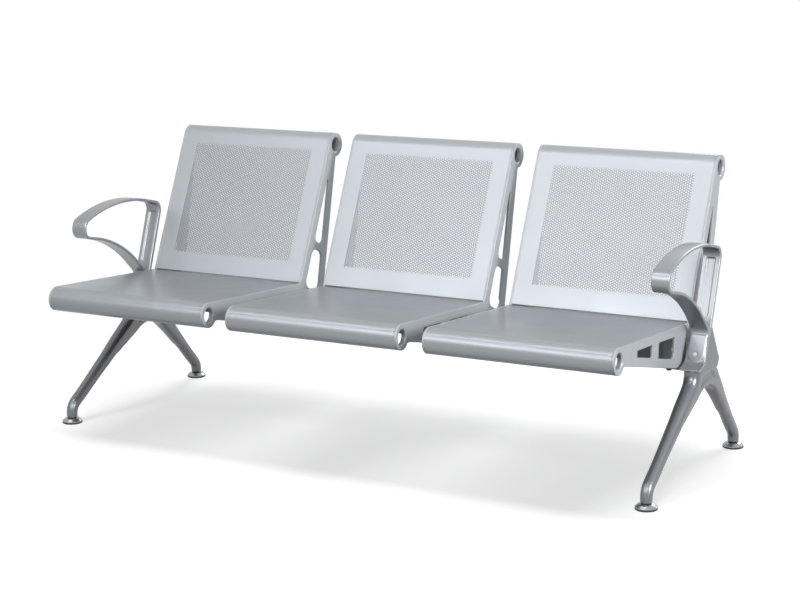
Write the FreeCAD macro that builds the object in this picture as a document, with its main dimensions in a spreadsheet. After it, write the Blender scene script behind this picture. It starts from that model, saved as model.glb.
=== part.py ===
import FreeCAD, Part
import math
import os
import re
import Sketcher
from FreeCAD import Placement, Rotation, Vector

# Three-place beam seat: sheet seats and backs on cast side rails, one steel beam, two cast legs,
# two cast armrests and four levelling feet. +X runs along the bench, the sitter faces -Y, +Z is up.
# The origin lies on the floor under the middle of the overall box. All lengths are in millimetres.

PLACES_IN_ROW = (-1, 0, 1)
SIDES = {"left": -1, "right": 1}
GRILLE_COLUMNS = 12
GRILLE_ROWS = 10

SIZES = {
    # Overall layout
    "overall_depth": 771,
    "seat_pitch": 590,
    "seat_width": 516,
    "fit": 0.3,
    # Seat and back lines seen from the side
    "roll_radius": 34,
    "bore_radius": 20,
    "roll_height": 385,
    "seat_length": 458,
    "seat_tilt": 3.6,
    "back_length": 429,
    "recline": 24.4,
    # Seat and back sheets
    "sheet": 1.5,
    "roll_wrap": 200,
    "hem": 13,
    "grille_width": 406,
    "grille_height": 336,
    "grille_start": 60,
    "grille_hole": 15,
    # Cast rails, common
    "rail_web": 6,
    "spigot_length": 8,
    "ledge_width": 18,
    "ledge_depth": 5,
    "ledge_margin": 24,
    "flange_width": 13,
    "flange_depth": 5,
    "rim_bevel": 1.2,
    "bore_bevel": 3,
    "window_corner": 5,
    # Seat rail
    "neck_run": 41,
    "neck_depth": 52,
    "heel_depth": 122,
    "seat_band": 24,
    "bottom_band": 24,
    "front_window_start": 112,
    "front_window_end": 210,
    "rear_window_start": 252,
    "rear_window_end": 360,
    "rear_window_corner": 16,
    "end_plate": 8,
    "end_plate_width": 34,
    # Back rail
    "root_depth": 131,
    "back_neck_run": 395,
    "back_neck_depth": 45,
    "back_band": 27,
    "upper_window_start": 136,
    "upper_window_round": 16,
    "upper_window_tip": 4,
    "lower_window_start": 0,
    "lower_window_end": 114,
    "lower_window_round": 22,
    "heel_round": 30,
    # Beam and the saddles that grip it
    "beam_drop": 50,
    "beam_height": 60,
    "beam_depth": 40,
    "beam_wall": 3,
    "beam_corner": 4,
    "beam_inset": 8,
    "saddle_wall": 20,
    "saddle_roof": 14,
    "saddle_width": 54,
    "saddle_lift": 1,
    "clamp_thick": 8,
    # Fasteners
    "bolt_radius": 4,
    "bolt_head_radius": 7,
    "bolt_head": 5.5,
    "bolt_play": 0.25,
    "clamp_bolt_inset": 42,
    "clamp_bolt_length": 44,
    "joint_bolt_inset": 20,
    "joint_bolt_length": 24,
    "joint_bolt_rise": 12,
    "panel_screw_radius": 2.5,
    "panel_screw_head_radius": 5,
    "panel_screw_head": 3,
    "panel_screw_first": 110,
    "panel_screw_second": 330,
    # Leg casting
    "leg_gap": 15.5,
    "leg_thick": 44,
    "foot_spread": 618,
    "ankle_width": 30,
    "ankle_corner": 14.3,
    "ankle_height": 16.3,
    "leg_top_depth": 54,
    "leg_corner": 20,
    "ankle_round": 36,
    "front_ankle_rise": 47,
    "front_knee_out": 65,
    "front_knee_drop": 62,
    "front_knee_round": 60,
    "front_leg_drop": 10,
    "rear_ankle_rise": 40,
    "rear_knee_out": 15,
    "rear_knee_drop": 20,
    "rear_knee_round": 12,
    "rear_leg_drop": 8,
    "leg_wall": 6,
    "head_drop": 40,
    "web_recess": 4,
    "web_thick": 22,
    "arch_out": 11,
    "arch_drop": 41,
    "arch_round": 118,
    "arch_reach": 200,
    "arch_front_slope": 29,
    "arch_rear_slope": 43.8,
    "arch_rim": 26,
    "arch_taper": 7,
    "fin_rise": 76,
    "fin_out": 9,
    "fin_round": 5,
    "fin_rear_out": 68,
    "fin_rear_drop": 21,
    "fin_step": 6,
    "leg_bolt_drop": 6,
    "leg_bolt_spread": 20,
    "leg_bolt_grip": 20,
    # Armrest casting
    "arm_width": 48,
    "arm_thick": 8,
    "arm_post_thick": 12,
    "arm_edge": 2.2,
    "arm_foot_width": 56,
    "arm_foot_drop": 10,
    "arm_foot_rise": 40,
    "arm_toe_out": 92,
    "arm_toe_drop": 26,
    "arm_toe_lip": 5.5,
    "arm_seam_bend_out": 50,
    "arm_seam_bend_drop": 13,
    "arm_seam_top_out": 1,
    "arm_seam_lap": 8,
    "arm_flare_out": 56,
    "arm_flare_drop": 8,
    "arm_flare_round": 18,
    "arm_knee_out": 23,
    "arm_knee_rise": 69,
    "arm_knee_round": 16,
    "arm_sweep_out": 140,
    "arm_sweep_rise": 182,
    "arm_sweep_round": 380,
    "arm_nose_out": 303,
    "arm_nose_rise": 217,
    "arm_nose_height": 48,
    "arm_nose_low_round": 27,
    "arm_nose_high_round": 33,
    "arm_crown_out": 139,
    "arm_crown_rise": 323.3,
    "arm_crown_round": 480,
    "arm_corner_out": 72,
    "arm_corner_rise": 272.3,
    "arm_corner_round": 29,
    "arm_crotch_round": 6,
    "arm_tab_width": 43,
    "arm_tab_length": 72,
    "arm_tab_rise": 2.5,
    "arm_tab_edge": 1,
    "arm_groove_width": 22,
    "arm_groove_depth": 5,
    "arm_groove_length": 158,
    "arm_groove_start": 26,
    "arm_screw_radius": 3,
    "arm_screw_head_radius": 4.5,
    "arm_screw_head": 2.2,
    "arm_screw_length": 17,
    "arm_screw_up": 20,
    # Levelling foot
    "foot_radius": 28.5,
    "foot_rubber": 5,
    "foot_rim": 2.5,
    "foot_dome_radius": 21,
    "foot_dome_drop": 2,
    "foot_dome_round": 9,
    "foot_neck_radius": 12,
    "foot_top": 16,
    "stud_radius": 5,
    "stud_length": 28,
    "stud_play": 0.06,
    "stud_end_play": 1,
    "foot_travel": 12,
}

PLACES = {
    "roll_y": "-overall_depth / 2 + roll_radius",
    "junction_y": "roll_y + seat_length * cos(seat_tilt) + roll_radius * sin(seat_tilt)",
    "junction_z": "roll_height - seat_length * sin(seat_tilt) + roll_radius * cos(seat_tilt)",
    "rail_slope": "(heel_depth - neck_depth) / (seat_length - neck_run)",
    "rear_foot_y": "overall_depth / 2 - foot_radius",
    "front_foot_y": "rear_foot_y - foot_spread",
    "beam_y": "junction_y",
    "beam_top": "junction_z - beam_drop",
    "beam_bottom": "beam_top - beam_height",
    "beam_middle": "beam_top - beam_height / 2",
    "beam_front": "beam_y - beam_depth / 2",
    "beam_rear": "beam_y + beam_depth / 2",
    "saddle_front": "beam_front - saddle_wall",
    "saddle_rear": "beam_rear + saddle_wall",
    "saddle_top": "beam_top + saddle_roof",
    "rail_toe_z": "beam_bottom - clamp_thick",
    "leg_plane": "seat_pitch + seat_width / 2 + leg_gap + leg_thick / 2",
    "panel_width": "seat_width - 2 * rail_web - 2 * fit",
    "seam_top_rise": "fin_rise - arm_seam_lap",
    "tab_lean": "atan((arm_flare_out - arm_knee_out) / (arm_knee_rise + arm_flare_drop))"
                " / (1 deg)",
    "post_lean": "atan((arm_corner_out - arm_seam_top_out)"
                 " / (arm_corner_rise - seam_top_rise)) / (1 deg)",
    "foot_stud_top": "foot_top + stud_length",
}

doc = FreeCAD.newDocument("BeamSeat")
sizes = doc.addObject("Spreadsheet::Sheet", "Sizes")
places = doc.addObject("Spreadsheet::Sheet", "Places")
pieces = []


def formula(text):
    """Point every size and place name in a formula at its sheet."""

    def owner(match):
        word = match.group(0)
        if word in SIZES:
            return "Sizes." + word
        if word in PLACES:
            return "Places." + word
        return word

    return re.sub(r"[a-z_]+", owner, text)


def number(text):
    """Value of a formula in millimetres or degrees."""
    return float(sizes.evalExpression(formula(text)))


def fill_sheets():
    """Write the driving sizes as plain numbers and the worked-out places as formulas."""
    for row, (name, value) in enumerate(SIZES.items(), start=1):
        sizes.set(f"A{row}", name)
        sizes.set(f"B{row}", str(value))
        sizes.setAlias(f"B{row}", name)
    doc.recompute()
    for row, (name, text) in enumerate(PLACES.items(), start=1):
        places.set(f"A{row}", name)
        places.set(f"B{row}", "=" + formula(text).replace("Places.", ""))
        places.setAlias(f"B{row}", name)
    doc.recompute()


# Points seen from the side, as (y, z) formulas


def on_seat(run, rise):
    """Point by its run back from the front roll's centre and its rise square to the seat."""
    y = f"roll_y + ({run}) * cos(seat_tilt) + ({rise}) * sin(seat_tilt)"
    z = f"roll_height - ({run}) * sin(seat_tilt) + ({rise}) * cos(seat_tilt)"
    return (y, z)


def on_back(height, depth):
    """Point by its height up the back from the seat corner and its depth behind the back."""
    y = f"junction_y + ({height}) * sin(recline) + ({depth}) * cos(recline)"
    z = f"junction_z + ({height}) * cos(recline) - ({depth}) * sin(recline)"
    return (y, z)


def from_beam(out, rise):
    """Point by its distance behind the beam's middle and its rise over it."""
    return (f"beam_y + ({out})", f"beam_middle + ({rise})")


def rail_bottom(run):
    """Rise of the seat rail's lower edge at one run, which is negative."""
    return f"(roll_radius - neck_depth - (({run}) - neck_run) * rail_slope)"


def rail_rear(height):
    """Depth of the back rail's rear edge at one height up the back."""
    return f"(root_depth - ({height}) * (root_depth - back_neck_depth) / back_neck_run)"


# Bodies and sketches


def piece(label, x="0"):
    """Start one sub-part at a place along the bench."""
    body = doc.addObject("PartDesign::Body", label)
    body.Label = label
    body.AllowCompound = True
    body.setExpression("Placement.Base.x", formula(x))
    pieces.append(body)
    return body


def sketch_on(body, role, offset="0", base=("0", "0"), turn=None):
    """Sketch on an origin plane, moved along its normal or within it, and turned about X."""
    plane = next(item for item in body.Origin.OriginFeatures if item.Role == role)
    sketch = body.newObject("Sketcher::SketchObject", f"{body.Name}_sketch")
    sketch.AttachmentSupport = [(plane, "")]
    sketch.MapMode = "FlatFace"
    if turn is not None:
        sketch.AttachmentOffset = Placement(Vector(), Rotation(Vector(1, 0, 0), 1))
        sketch.setExpression("AttachmentOffset.Rotation.Angle", f"({formula(turn)}) * 1 deg")
    sketch.setExpression("AttachmentOffset.Base.x", formula(base[0]))
    sketch.setExpression("AttachmentOffset.Base.y", formula(base[1]))
    sketch.setExpression("AttachmentOffset.Base.z", formula(offset))
    return sketch


def bind(sketch, kind, *references, to):
    """Constraint whose value follows a formula."""
    index = sketch.addConstraint(Sketcher.Constraint(kind, *references, number(to)))
    sketch.setExpression(f"Constraints[{index}]", formula(to))


def hold(sketch, geometry, point, place):
    """Tie one sketch point to a (horizontal, vertical) place."""
    bind(sketch, "DistanceX", -1, 1, geometry, point, to=place[0])
    bind(sketch, "DistanceY", -1, 1, geometry, point, to=place[1])


def join(sketch, first, first_end, second, second_end, kind="Coincident"):
    sketch.addConstraint(Sketcher.Constraint(kind, first, first_end, second, second_end))


def rounded_corner(before, here, after, radius):
    """Tangent points and centre of a round of one radius at a corner."""
    back = (before - here).normalize()
    ahead = (after - here).normalize()
    half = back.getAngle(ahead) / 2
    reach = radius / math.tan(half)
    middle = (back + ahead).normalize()
    return here + back * reach, here + ahead * reach, here + middle * (radius / math.sin(half))


def outline(sketch, corners, closed=True):
    """Straight runs through the corners, with an arc where a corner names a radius."""
    spots = [Vector(number(corner[0]), number(corner[1]), 0) for corner in corners]
    count = len(corners)
    starts = list(spots)
    ends = list(spots)
    centres = {}
    for index, corner in enumerate(corners):
        if len(corner) == 3:
            before = spots[index - 1]
            after = spots[(index + 1) % count]
            ends[index], starts[index], centres[index] = rounded_corner(
                before, spots[index], after, number(corner[2]))
    lines = []
    for index in range(count if closed else count - 1):
        line = Part.LineSegment(starts[index], ends[(index + 1) % count])
        lines.append(sketch.addGeometry(line, False))
    for index, corner in enumerate(corners):
        first = 0 if closed else 1
        last = count if closed else count - 1
        if not first <= index < last:
            line = lines[0] if index == 0 else lines[-1]
            hold(sketch, line, 1 if index == 0 else 2, corner)
            continue
        incoming = lines[index - 1]
        outgoing = lines[index]
        if index not in centres:
            join(sketch, incoming, 2, outgoing, 1)
            hold(sketch, outgoing, 1, corner)
            continue
        round_corner(sketch, incoming, outgoing, ends[index], starts[index], centres[index],
                     corner[2])
        mark = sketch.addGeometry(Part.Point(spots[index]), True)
        hold(sketch, mark, 1, corner)
        sketch.addConstraint(Sketcher.Constraint("PointOnObject", mark, 1, incoming))
        sketch.addConstraint(Sketcher.Constraint("PointOnObject", mark, 1, outgoing))
    return lines


def round_corner(sketch, incoming, outgoing, entry, leave, centre, radius):
    """Arc between two runs, tangent to both."""
    size = (entry - centre).Length
    turn = (entry - centre).cross(leave - centre).z
    start, end = (entry, leave) if turn > 0 else (leave, entry)
    angles = [math.atan2(spot.y - centre.y, spot.x - centre.x) for spot in (start, end)]
    circle = Part.Circle(centre, Vector(0, 0, 1), size)
    arc = sketch.addGeometry(Part.ArcOfCircle(circle, angles[0], angles[1]), False)
    entry_end = 1 if turn > 0 else 2
    join(sketch, incoming, 2, arc, entry_end, "Tangent")
    join(sketch, outgoing, 1, arc, 3 - entry_end, "Tangent")
    bind(sketch, "Radius", arc, to=radius)


def inset(sketch, outer, gaps, radii):
    """Closed loop inside the given outer runs: one gap to each run and one radius a corner."""
    runs = []
    for line, gap in zip(outer, gaps):
        segment = sketch.Geometry[line]
        along = (segment.EndPoint - segment.StartPoint).normalize()
        inward = Vector(-along.y, along.x, 0) * number(gap)
        runs.append((segment.StartPoint + inward, along))
    count = len(runs)
    spots = []
    for index, (base, along) in enumerate(runs):
        last_base, last_along = runs[index - 1]
        span = base - last_base
        reach = span.cross(along).z / last_along.cross(along).z
        spots.append(last_base + last_along * reach)
    ends = []
    starts = []
    centres = []
    for index, radius in enumerate(radii):
        entry, leave, centre = rounded_corner(
            spots[index - 1], spots[index], spots[(index + 1) % count], number(radius))
        ends.append(entry)
        starts.append(leave)
        centres.append(centre)
    lines = []
    for index in range(count):
        line = Part.LineSegment(starts[index], ends[(index + 1) % count])
        lines.append(sketch.addGeometry(line, False))
    for index in range(count):
        round_corner(sketch, lines[index - 1], lines[index], ends[index], starts[index],
                     centres[index], radii[index])
        sketch.addConstraint(Sketcher.Constraint("Parallel", outer[index], lines[index]))
        bind(sketch, "Distance", lines[index], 1, outer[index], to=gaps[index])


def circle(sketch, place, radius):
    spot = Vector(number(place[0]), number(place[1]), 0)
    ring = sketch.addGeometry(Part.Circle(spot, Vector(0, 0, 1), number(radius)), False)
    hold(sketch, ring, 3, place)
    bind(sketch, "Radius", ring, to=radius)


def box(sketch, low, high):
    """Rectangle between two opposite corners."""
    outline(sketch, [low, (high[0], low[1]), high, (low[0], high[1])])


# Features


def grow(body, sketch, length, backwards=False, both=False):
    pad = body.newObject("PartDesign::Pad", f"{body.Name}_pad")
    pad.Profile = sketch
    pad.Reversed = backwards
    pad.Midplane = both
    pad.setExpression("Length", formula(length))
    doc.recompute()
    return pad


def cut(body, sketch, length, backwards=False, both=False):
    """Pocket that has to take something away."""
    before = body.Shape.Volume
    pocket = body.newObject("PartDesign::Pocket", f"{body.Name}_pocket")
    pocket.Profile = sketch
    pocket.Reversed = backwards
    pocket.Midplane = both
    pocket.setExpression("Length", formula(length))
    doc.recompute()
    if body.Shape.Volume > before - 1:
        raise ValueError(f"{body.Label}: a pocket cuts nothing")
    return pocket


def edges_where(body, test):
    """Names of the tip's edges that pass a test, for an edge treatment."""
    shape = body.Tip.Shape
    return [f"Edge{index}" for index, edge in enumerate(shape.Edges, start=1) if test(edge)]


def soften(body, kind, names, size):
    """Fillet or chamfer on the tip's named edges."""
    base = body.Tip
    feature = body.newObject(f"PartDesign::{kind}", f"{body.Name}_{kind.lower()}")
    feature.Base = (base, names)
    feature.setExpression("Radius" if kind == "Fillet" else "Size", formula(size))
    doc.recompute()
    return feature


def layer(body, start, side):
    """Sketch seen from the side, a distance in from a rail's outer face."""
    return sketch_on(body, "YZ_Plane", offset=f"{-side} * ({start})")


def grow_in(body, sketch, width, side):
    """Pad from a layer towards the middle of the seat."""
    return grow(body, sketch, width, backwards=side > 0)


# Seat and back rails


def ring_end(body, centre, side):
    """Round end flush with a roll, its spigot inside the roll, and the bevelled bore."""
    face = layer(body, "0", side)
    circle(face, centre, "roll_radius")
    grow_in(body, face, "rail_web", side)
    spigot = layer(body, "rail_web", side)
    circle(spigot, centre, "roll_radius - sheet - fit")
    grow_in(body, spigot, "spigot_length", side)
    bore = layer(body, "0", side)
    circle(bore, centre, "bore_radius")
    cut(body, bore, "rail_web + spigot_length", backwards=side < 0)


def bevel_face(body, centre, side):
    """Bevels on the outer face: a wide one at the bore and small ones at the windows."""

    def flat(edge):
        return abs(edge.BoundBox.XMax) < 0.01 and abs(edge.BoundBox.XMin) < 0.01

    spot = Vector(0, number(centre[0]), number(centre[1]))
    bore = number("bore_radius")

    def is_bore(edge):
        round_edge = flat(edge) and isinstance(edge.Curve, Part.Circle)
        return round_edge and (edge.Curve.Center - spot).Length < 0.01 and abs(
            edge.Curve.Radius - bore) < 0.01

    outer_face = max(body.Tip.Shape.Faces, key=outer_face_area)
    inner = set()
    for wire in outer_face.Wires:
        if not wire.isSame(outer_face.OuterWire):
            inner.update(edge.hashCode() for edge in wire.Edges)
    windows = edges_where(body, lambda edge: edge.hashCode() in inner and not is_bore(edge))
    soften(body, "Chamfer", windows, "rim_bevel")
    soften(body, "Chamfer", edges_where(body, is_bore), "bore_bevel")


def outer_face_area(face):
    """Area of a face that lies in the outer plane, or nothing for any other face."""
    box_of = face.BoundBox
    in_plane = abs(box_of.XMax) < 0.01 and abs(box_of.XMin) < 0.01
    return face.Area if in_plane else 0


def seat_window(start, end, last_corner):
    """Four-cornered window between two runs, parallel to the rail's upper and lower edges."""
    top = "roll_radius - seat_band"
    return [
        (*on_seat(start, top), "window_corner"),
        (*on_seat(start, rail_bottom(start) + " + bottom_band"), "window_corner"),
        (*on_seat(end, rail_bottom(end) + " + bottom_band"), last_corner),
        (*on_seat(end, top), "window_corner"),
    ]


def seat_rail(label, x, side):
    """Cast rail under one side of a seat: web, ring end, ledge, lower flange and end plate."""
    body = piece(label, x)
    centre = on_seat("0", "0")
    toe = rail_bottom("(saddle_front - roll_y) / cos(seat_tilt)")
    toe_place = on_seat("(saddle_front - roll_y) / cos(seat_tilt)", toe)
    web = layer(body, "0", side)
    outline(web, [
        on_seat("0", "roll_radius"),
        ("junction_y - fit", f"{on_seat('seat_length', 'roll_radius')[1]}"),
        ("junction_y - fit", "saddle_top + fit"),
        ("saddle_front - fit", "saddle_top + fit"),
        ("saddle_front - fit", toe_place[1]),
        (*on_seat("neck_run", "roll_radius - neck_depth"), "heel_round"),
        on_seat("bore_radius / 2", "roll_radius - neck_depth"),
    ])
    outline(web, seat_window("front_window_start", "front_window_end", "window_corner"))
    outline(web, seat_window("rear_window_start", "rear_window_end", "rear_window_corner"))
    grow_in(body, web, "rail_web", side)
    ledge = layer(body, "rail_web", side)
    ledge_top = "roll_radius - sheet - fit"
    ledge_low = f"{ledge_top} - ledge_depth"
    ledge_end = "seat_length - ledge_margin"
    outline(ledge, [
        on_seat("roll_radius", ledge_low),
        on_seat(ledge_end, ledge_low),
        on_seat(ledge_end, ledge_top),
        on_seat("roll_radius", ledge_top),
    ])
    grow_in(body, ledge, "ledge_width", side)
    flange = layer(body, "rail_web", side)
    first = "neck_run + heel_round"
    last = "seat_length - beam_depth - saddle_wall"
    outline(flange, [
        on_seat(first, rail_bottom(first)),
        on_seat(last, rail_bottom(last)),
        on_seat(last, rail_bottom(last) + " + flange_depth"),
        on_seat(first, rail_bottom(first) + " + flange_depth"),
    ])
    grow_in(body, flange, "flange_width", side)
    plate = layer(body, "rail_web", side)
    box(plate, ("saddle_front - fit - end_plate", toe_place[1]),
        ("saddle_front - fit", "saddle_top + fit"))
    grow_in(body, plate, "end_plate_width", side)
    ring_end(body, centre, side)
    bolts = sketch_on(body, "XZ_Plane", offset="-(saddle_front - 2 * end_plate)")
    for height in joint_bolt_heights():
        circle(bolts, (f"{-side} * joint_bolt_inset", height), "bolt_radius + bolt_play")
    cut(body, bolts, "2 * end_plate", backwards=False)
    screws = sketch_on(body, "XY_Plane", base=("0", "roll_y"), offset="roll_height",
                       turn="-seat_tilt")
    for run in ("panel_screw_first", "panel_screw_second"):
        circle(screws, (f"{-side} * (rail_web + ledge_width / 2)", run),
               "panel_screw_radius + bolt_play")
    cut(body, screws, "roll_radius", backwards=True)
    bevel_face(body, centre, side)
    return body


def joint_bolt_heights():
    return ("beam_bottom + joint_bolt_rise", "beam_top - joint_bolt_rise")


def saddle_corners(low):
    """Outline that straddles the beam, open below."""
    return [
        ("saddle_front", low),
        ("beam_front - fit", low),
        ("beam_front - fit", "beam_top"),
        ("beam_rear + fit", "beam_top"),
        ("beam_rear + fit", low),
        ("saddle_rear", low),
    ]


def back_rail(label, x, side):
    """Cast rail behind one side of a back, with the saddle that grips the beam."""
    body = piece(label, x)
    centre = on_back("back_length", "roll_radius")
    web = layer(body, "0", side)
    outline(web, [
        *saddle_corners("rail_toe_z"),
        (*on_back("0", "root_depth"), "heel_round"),
        on_back("back_neck_run", "back_neck_depth"),
        on_back("back_length", "roll_radius + bore_radius + bore_bevel + rim_bevel"),
        on_back("back_length", "0"),
        on_back("0", "0"),
        ("junction_y", "saddle_top"),
        ("saddle_front", "saddle_top"),
    ])
    tip = "(root_depth - 2 * back_band) * back_neck_run / (root_depth - back_neck_depth)"
    outline(web, [
        (*on_back("upper_window_start", "back_band"), "upper_window_round"),
        (*on_back("upper_window_start", rail_rear("upper_window_start") + " - back_band"),
         "upper_window_round"),
        (*on_back(tip, "back_band"), "upper_window_tip"),
    ])
    outline(web, [
        (*on_back("lower_window_start", "back_band"), "lower_window_round"),
        (*on_back("lower_window_start", rail_rear("lower_window_start") + " - back_band"),
         "lower_window_round"),
        (*on_back("lower_window_end", rail_rear("lower_window_end") + " - back_band"),
         "lower_window_round"),
        (*on_back("lower_window_end", "back_band"), "lower_window_round"),
    ])
    grow_in(body, web, "rail_web", side)
    ledge = layer(body, "rail_web", side)
    near = "sheet + fit"
    ledge_end = "back_length - ledge_margin / 2"
    outline(ledge, [
        on_back("ledge_margin", near),
        on_back("ledge_margin", f"{near} + ledge_depth"),
        on_back(ledge_end, f"{near} + ledge_depth"),
        on_back(ledge_end, near),
    ])
    grow_in(body, ledge, "ledge_width", side)
    flange = layer(body, "rail_web", side)
    low = "heel_round + flange_depth"
    high = "back_neck_run - flange_depth"
    outline(flange, [
        on_back(low, rail_rear(low)),
        on_back(high, rail_rear(high)),
        on_back(high, rail_rear(high) + " - flange_depth"),
        on_back(low, rail_rear(low) + " - flange_depth"),
    ])
    grow_in(body, flange, "flange_width", side)
    saddle = layer(body, "rail_web", side)
    outline(saddle, [
        *saddle_corners("beam_bottom + saddle_lift"),
        ("saddle_rear", "saddle_top"),
        ("saddle_front", "saddle_top"),
    ])
    grow_in(body, saddle, "saddle_width - rail_web", side)
    ring_end(body, centre, side)
    upright = sketch_on(body, "XY_Plane", offset="beam_bottom")
    for y in clamp_bolt_rows():
        circle(upright, (f"{-side} * clamp_bolt_inset", y), "bolt_radius + bolt_play")
    cut(body, upright, "clamp_bolt_length", backwards=True)
    level = sketch_on(body, "XZ_Plane", offset="-saddle_front")
    for height in joint_bolt_heights():
        circle(level, (f"{-side} * joint_bolt_inset", height), "bolt_radius + bolt_play")
    cut(body, level, "saddle_wall", backwards=False)
    screws = sketch_on(body, "XY_Plane", base=("0", "junction_y"), offset="junction_z",
                       turn="90 - recline")
    for run in ("panel_screw_first", "panel_screw_second"):
        circle(screws, (f"{-side} * (rail_web + ledge_width / 2)", run),
               "panel_screw_radius + bolt_play")
    cut(body, screws, "ledge_depth * 2", backwards=False)
    bevel_face(body, centre, side)
    return body


def clamp_bolt_rows():
    return ("beam_front - saddle_wall / 2", "beam_rear + saddle_wall / 2")


# Sheets


def rolled_sheet(sketch, centre, flat, out, length):
    """Profile of a sheet with a roll at one end and a short hem at the other.

    flat is the direction of the sheet from the roll and out the side that is sat on.
    """

    def place(along, outward):
        horizontal = f"({centre[0]}) + {flat[0]} * ({along}) + {out[0]} * ({outward})"
        vertical = f"({centre[1]}) + {flat[1]} * ({along}) + {out[1]} * ({outward})"
        return (horizontal, vertical)

    def spot(along, outward):
        horizontal, vertical = place(along, outward)
        return Vector(number(horizontal), number(vertical), 0)

    inside = "(roll_radius - sheet)"
    lip_along = "-sin(roll_wrap)"
    lip_out = "cos(roll_wrap)"
    corners = [
        ("0", inside),
        (f"({length}) - sheet", inside),
        (f"({length}) - sheet", f"{inside} - hem"),
        (length, f"{inside} - hem"),
        (length, "roll_radius"),
        ("0", "roll_radius"),
    ]
    lines = []
    for first, second in zip(corners, corners[1:]):
        segment = Part.LineSegment(spot(*first), spot(*second))
        lines.append(sketch.addGeometry(segment, False))
    for index, line in enumerate(lines):
        hold(sketch, line, 1, place(*corners[index]))
        if index:
            join(sketch, lines[index - 1], 2, line, 1)
    hold(sketch, lines[-1], 2, place(*corners[-1]))
    middle = spot("0", "0")
    lip = Part.LineSegment(spot(f"roll_radius * {lip_along}", f"roll_radius * {lip_out}"),
                           spot(f"{inside} * {lip_along}", f"{inside} * {lip_out}"))
    edge = sketch.addGeometry(lip, False)
    counter_clockwise = flat[0] * out[1] - flat[1] * out[0] > 0
    arcs = []
    for radius, line, end, tip in (("roll_radius", lines[-1], 2, lip.StartPoint),
                                   (inside, lines[0], 1, lip.EndPoint)):
        root = spot("0", radius)
        start, stop = (root, tip) if counter_clockwise else (tip, root)
        angles = [math.atan2(item.y - middle.y, item.x - middle.x) for item in (start, stop)]
        ring = Part.Circle(middle, Vector(0, 0, 1), number(radius))
        arc = sketch.addGeometry(Part.ArcOfCircle(ring, angles[0], angles[1]), False)
        root_end = 1 if counter_clockwise else 2
        join(sketch, arc, root_end, line, end)
        join(sketch, arc, 3 - root_end, edge, len(arcs) + 1)
        arcs.append(arc)
    hold(sketch, arcs[0], 3, centre)
    join(sketch, arcs[1], 3, arcs[0], 3)
    sketch.addConstraint(Sketcher.Constraint("PointOnObject", arcs[0], 3, edge))
    bind(sketch, "DistanceY", arcs[0], 3, edge, 1,
         to=f"{flat[1]} * roll_radius * {lip_along} + {out[1]} * roll_radius * {lip_out}")


def tilt(body, y, z, angle):
    """Place a body in the seat's or the back's own slope."""
    body.Placement = Placement(Vector(), Rotation(Vector(1, 0, 0), -1))
    body.setExpression("Placement.Base.y", formula(y))
    body.setExpression("Placement.Base.z", formula(z))
    body.setExpression("Placement.Rotation.Angle", f"({formula(angle)}) * 1 deg")
    doc.recompute()


def seat_panel(label, x):
    body = piece(label, x)
    profile = sketch_on(body, "YZ_Plane")
    rolled_sheet(profile, ("0", "0"), (1, 0), (0, 1), "seat_length - fit")
    grow(body, profile, "panel_width", both=True)
    tilt(body, "roll_y", "roll_height", "-seat_tilt")
    return body


def back_panel(label, x):
    body = piece(label, x)
    profile = sketch_on(body, "YZ_Plane")
    rolled_sheet(profile, ("roll_radius", "back_length"), (0, -1), (-1, 0),
                 "back_length - sheet - fit")
    grow(body, profile, "panel_width", both=True)
    grille(body)
    tilt(body, "junction_y", "junction_z", "-recline")
    return body


def grille(body):
    """Rows of square openings through the flat of a back sheet."""
    column = sketch_on(body, "XZ_Plane")
    across = f"grille_width / {GRILLE_COLUMNS}"
    up = f"grille_height / {GRILLE_ROWS}"
    first = f"({across} - grille_width) / 2"
    for row in range(GRILLE_ROWS):
        middle = f"grille_start + {up} * ({row} + 0.5)"
        box(column, (f"{first} - grille_hole / 2", f"{middle} - grille_hole / 2"),
            (f"{first} + grille_hole / 2", f"{middle} + grille_hole / 2"))
    holes = cut(body, column, "4 * sheet", both=True)
    pattern = body.newObject("PartDesign::LinearPattern", f"{body.Name}_grille")
    pattern.Originals = [holes]
    pattern.Direction = (column, ["H_Axis"])
    pattern.Occurrences = GRILLE_COLUMNS
    pattern.setExpression("Length", formula(f"grille_width - {across}"))
    body.Tip = pattern
    doc.recompute()


# Fasteners


def shank_and_head(body, role, spots, plane, length, sizes_of, forwards):
    """Round shanks with hexagon or round heads on one plane of a body."""
    radius, head_radius, head = sizes_of
    shank = sketch_on(body, role, offset=plane)
    for spot in spots:
        circle(shank, spot, radius)
    grow(body, shank, length, backwards=not forwards)
    cap = sketch_on(body, role, offset=plane)
    for spot in spots:
        hexagon(cap, spot, head_radius)
    grow(body, cap, head, backwards=forwards)


def hexagon(sketch, spot, radius):
    corners = []
    for step in range(6):
        angle = 60 * step + 30
        corners.append((f"{spot[0]} + {radius} * cos({angle})",
                        f"{spot[1]} + {radius} * sin({angle})"))
    outline(sketch, corners)


BOLT = ("bolt_radius", "bolt_head_radius", "bolt_head")
PANEL_SCREW = ("panel_screw_radius", "panel_screw_head_radius", "panel_screw_head")


def clamp_plates(label, x):
    """Two plates that close the saddles under the beam."""
    body = piece(label, x)
    plan = sketch_on(body, "XY_Plane", offset="beam_bottom")
    for side in SIDES.values():
        outer = f"{side} * (seat_width / 2 - rail_web - fit)"
        inner = f"{side} * (seat_width / 2 - saddle_width)"
        low, high = (inner, outer) if side > 0 else (outer, inner)
        box(plan, (low, "saddle_front"), (high, "saddle_rear"))
        for y in clamp_bolt_rows():
            circle(plan, (f"{side} * (seat_width / 2 - clamp_bolt_inset)", y),
                   "bolt_radius + bolt_play")
    grow(body, plan, "clamp_thick", backwards=True)
    return body


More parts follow.
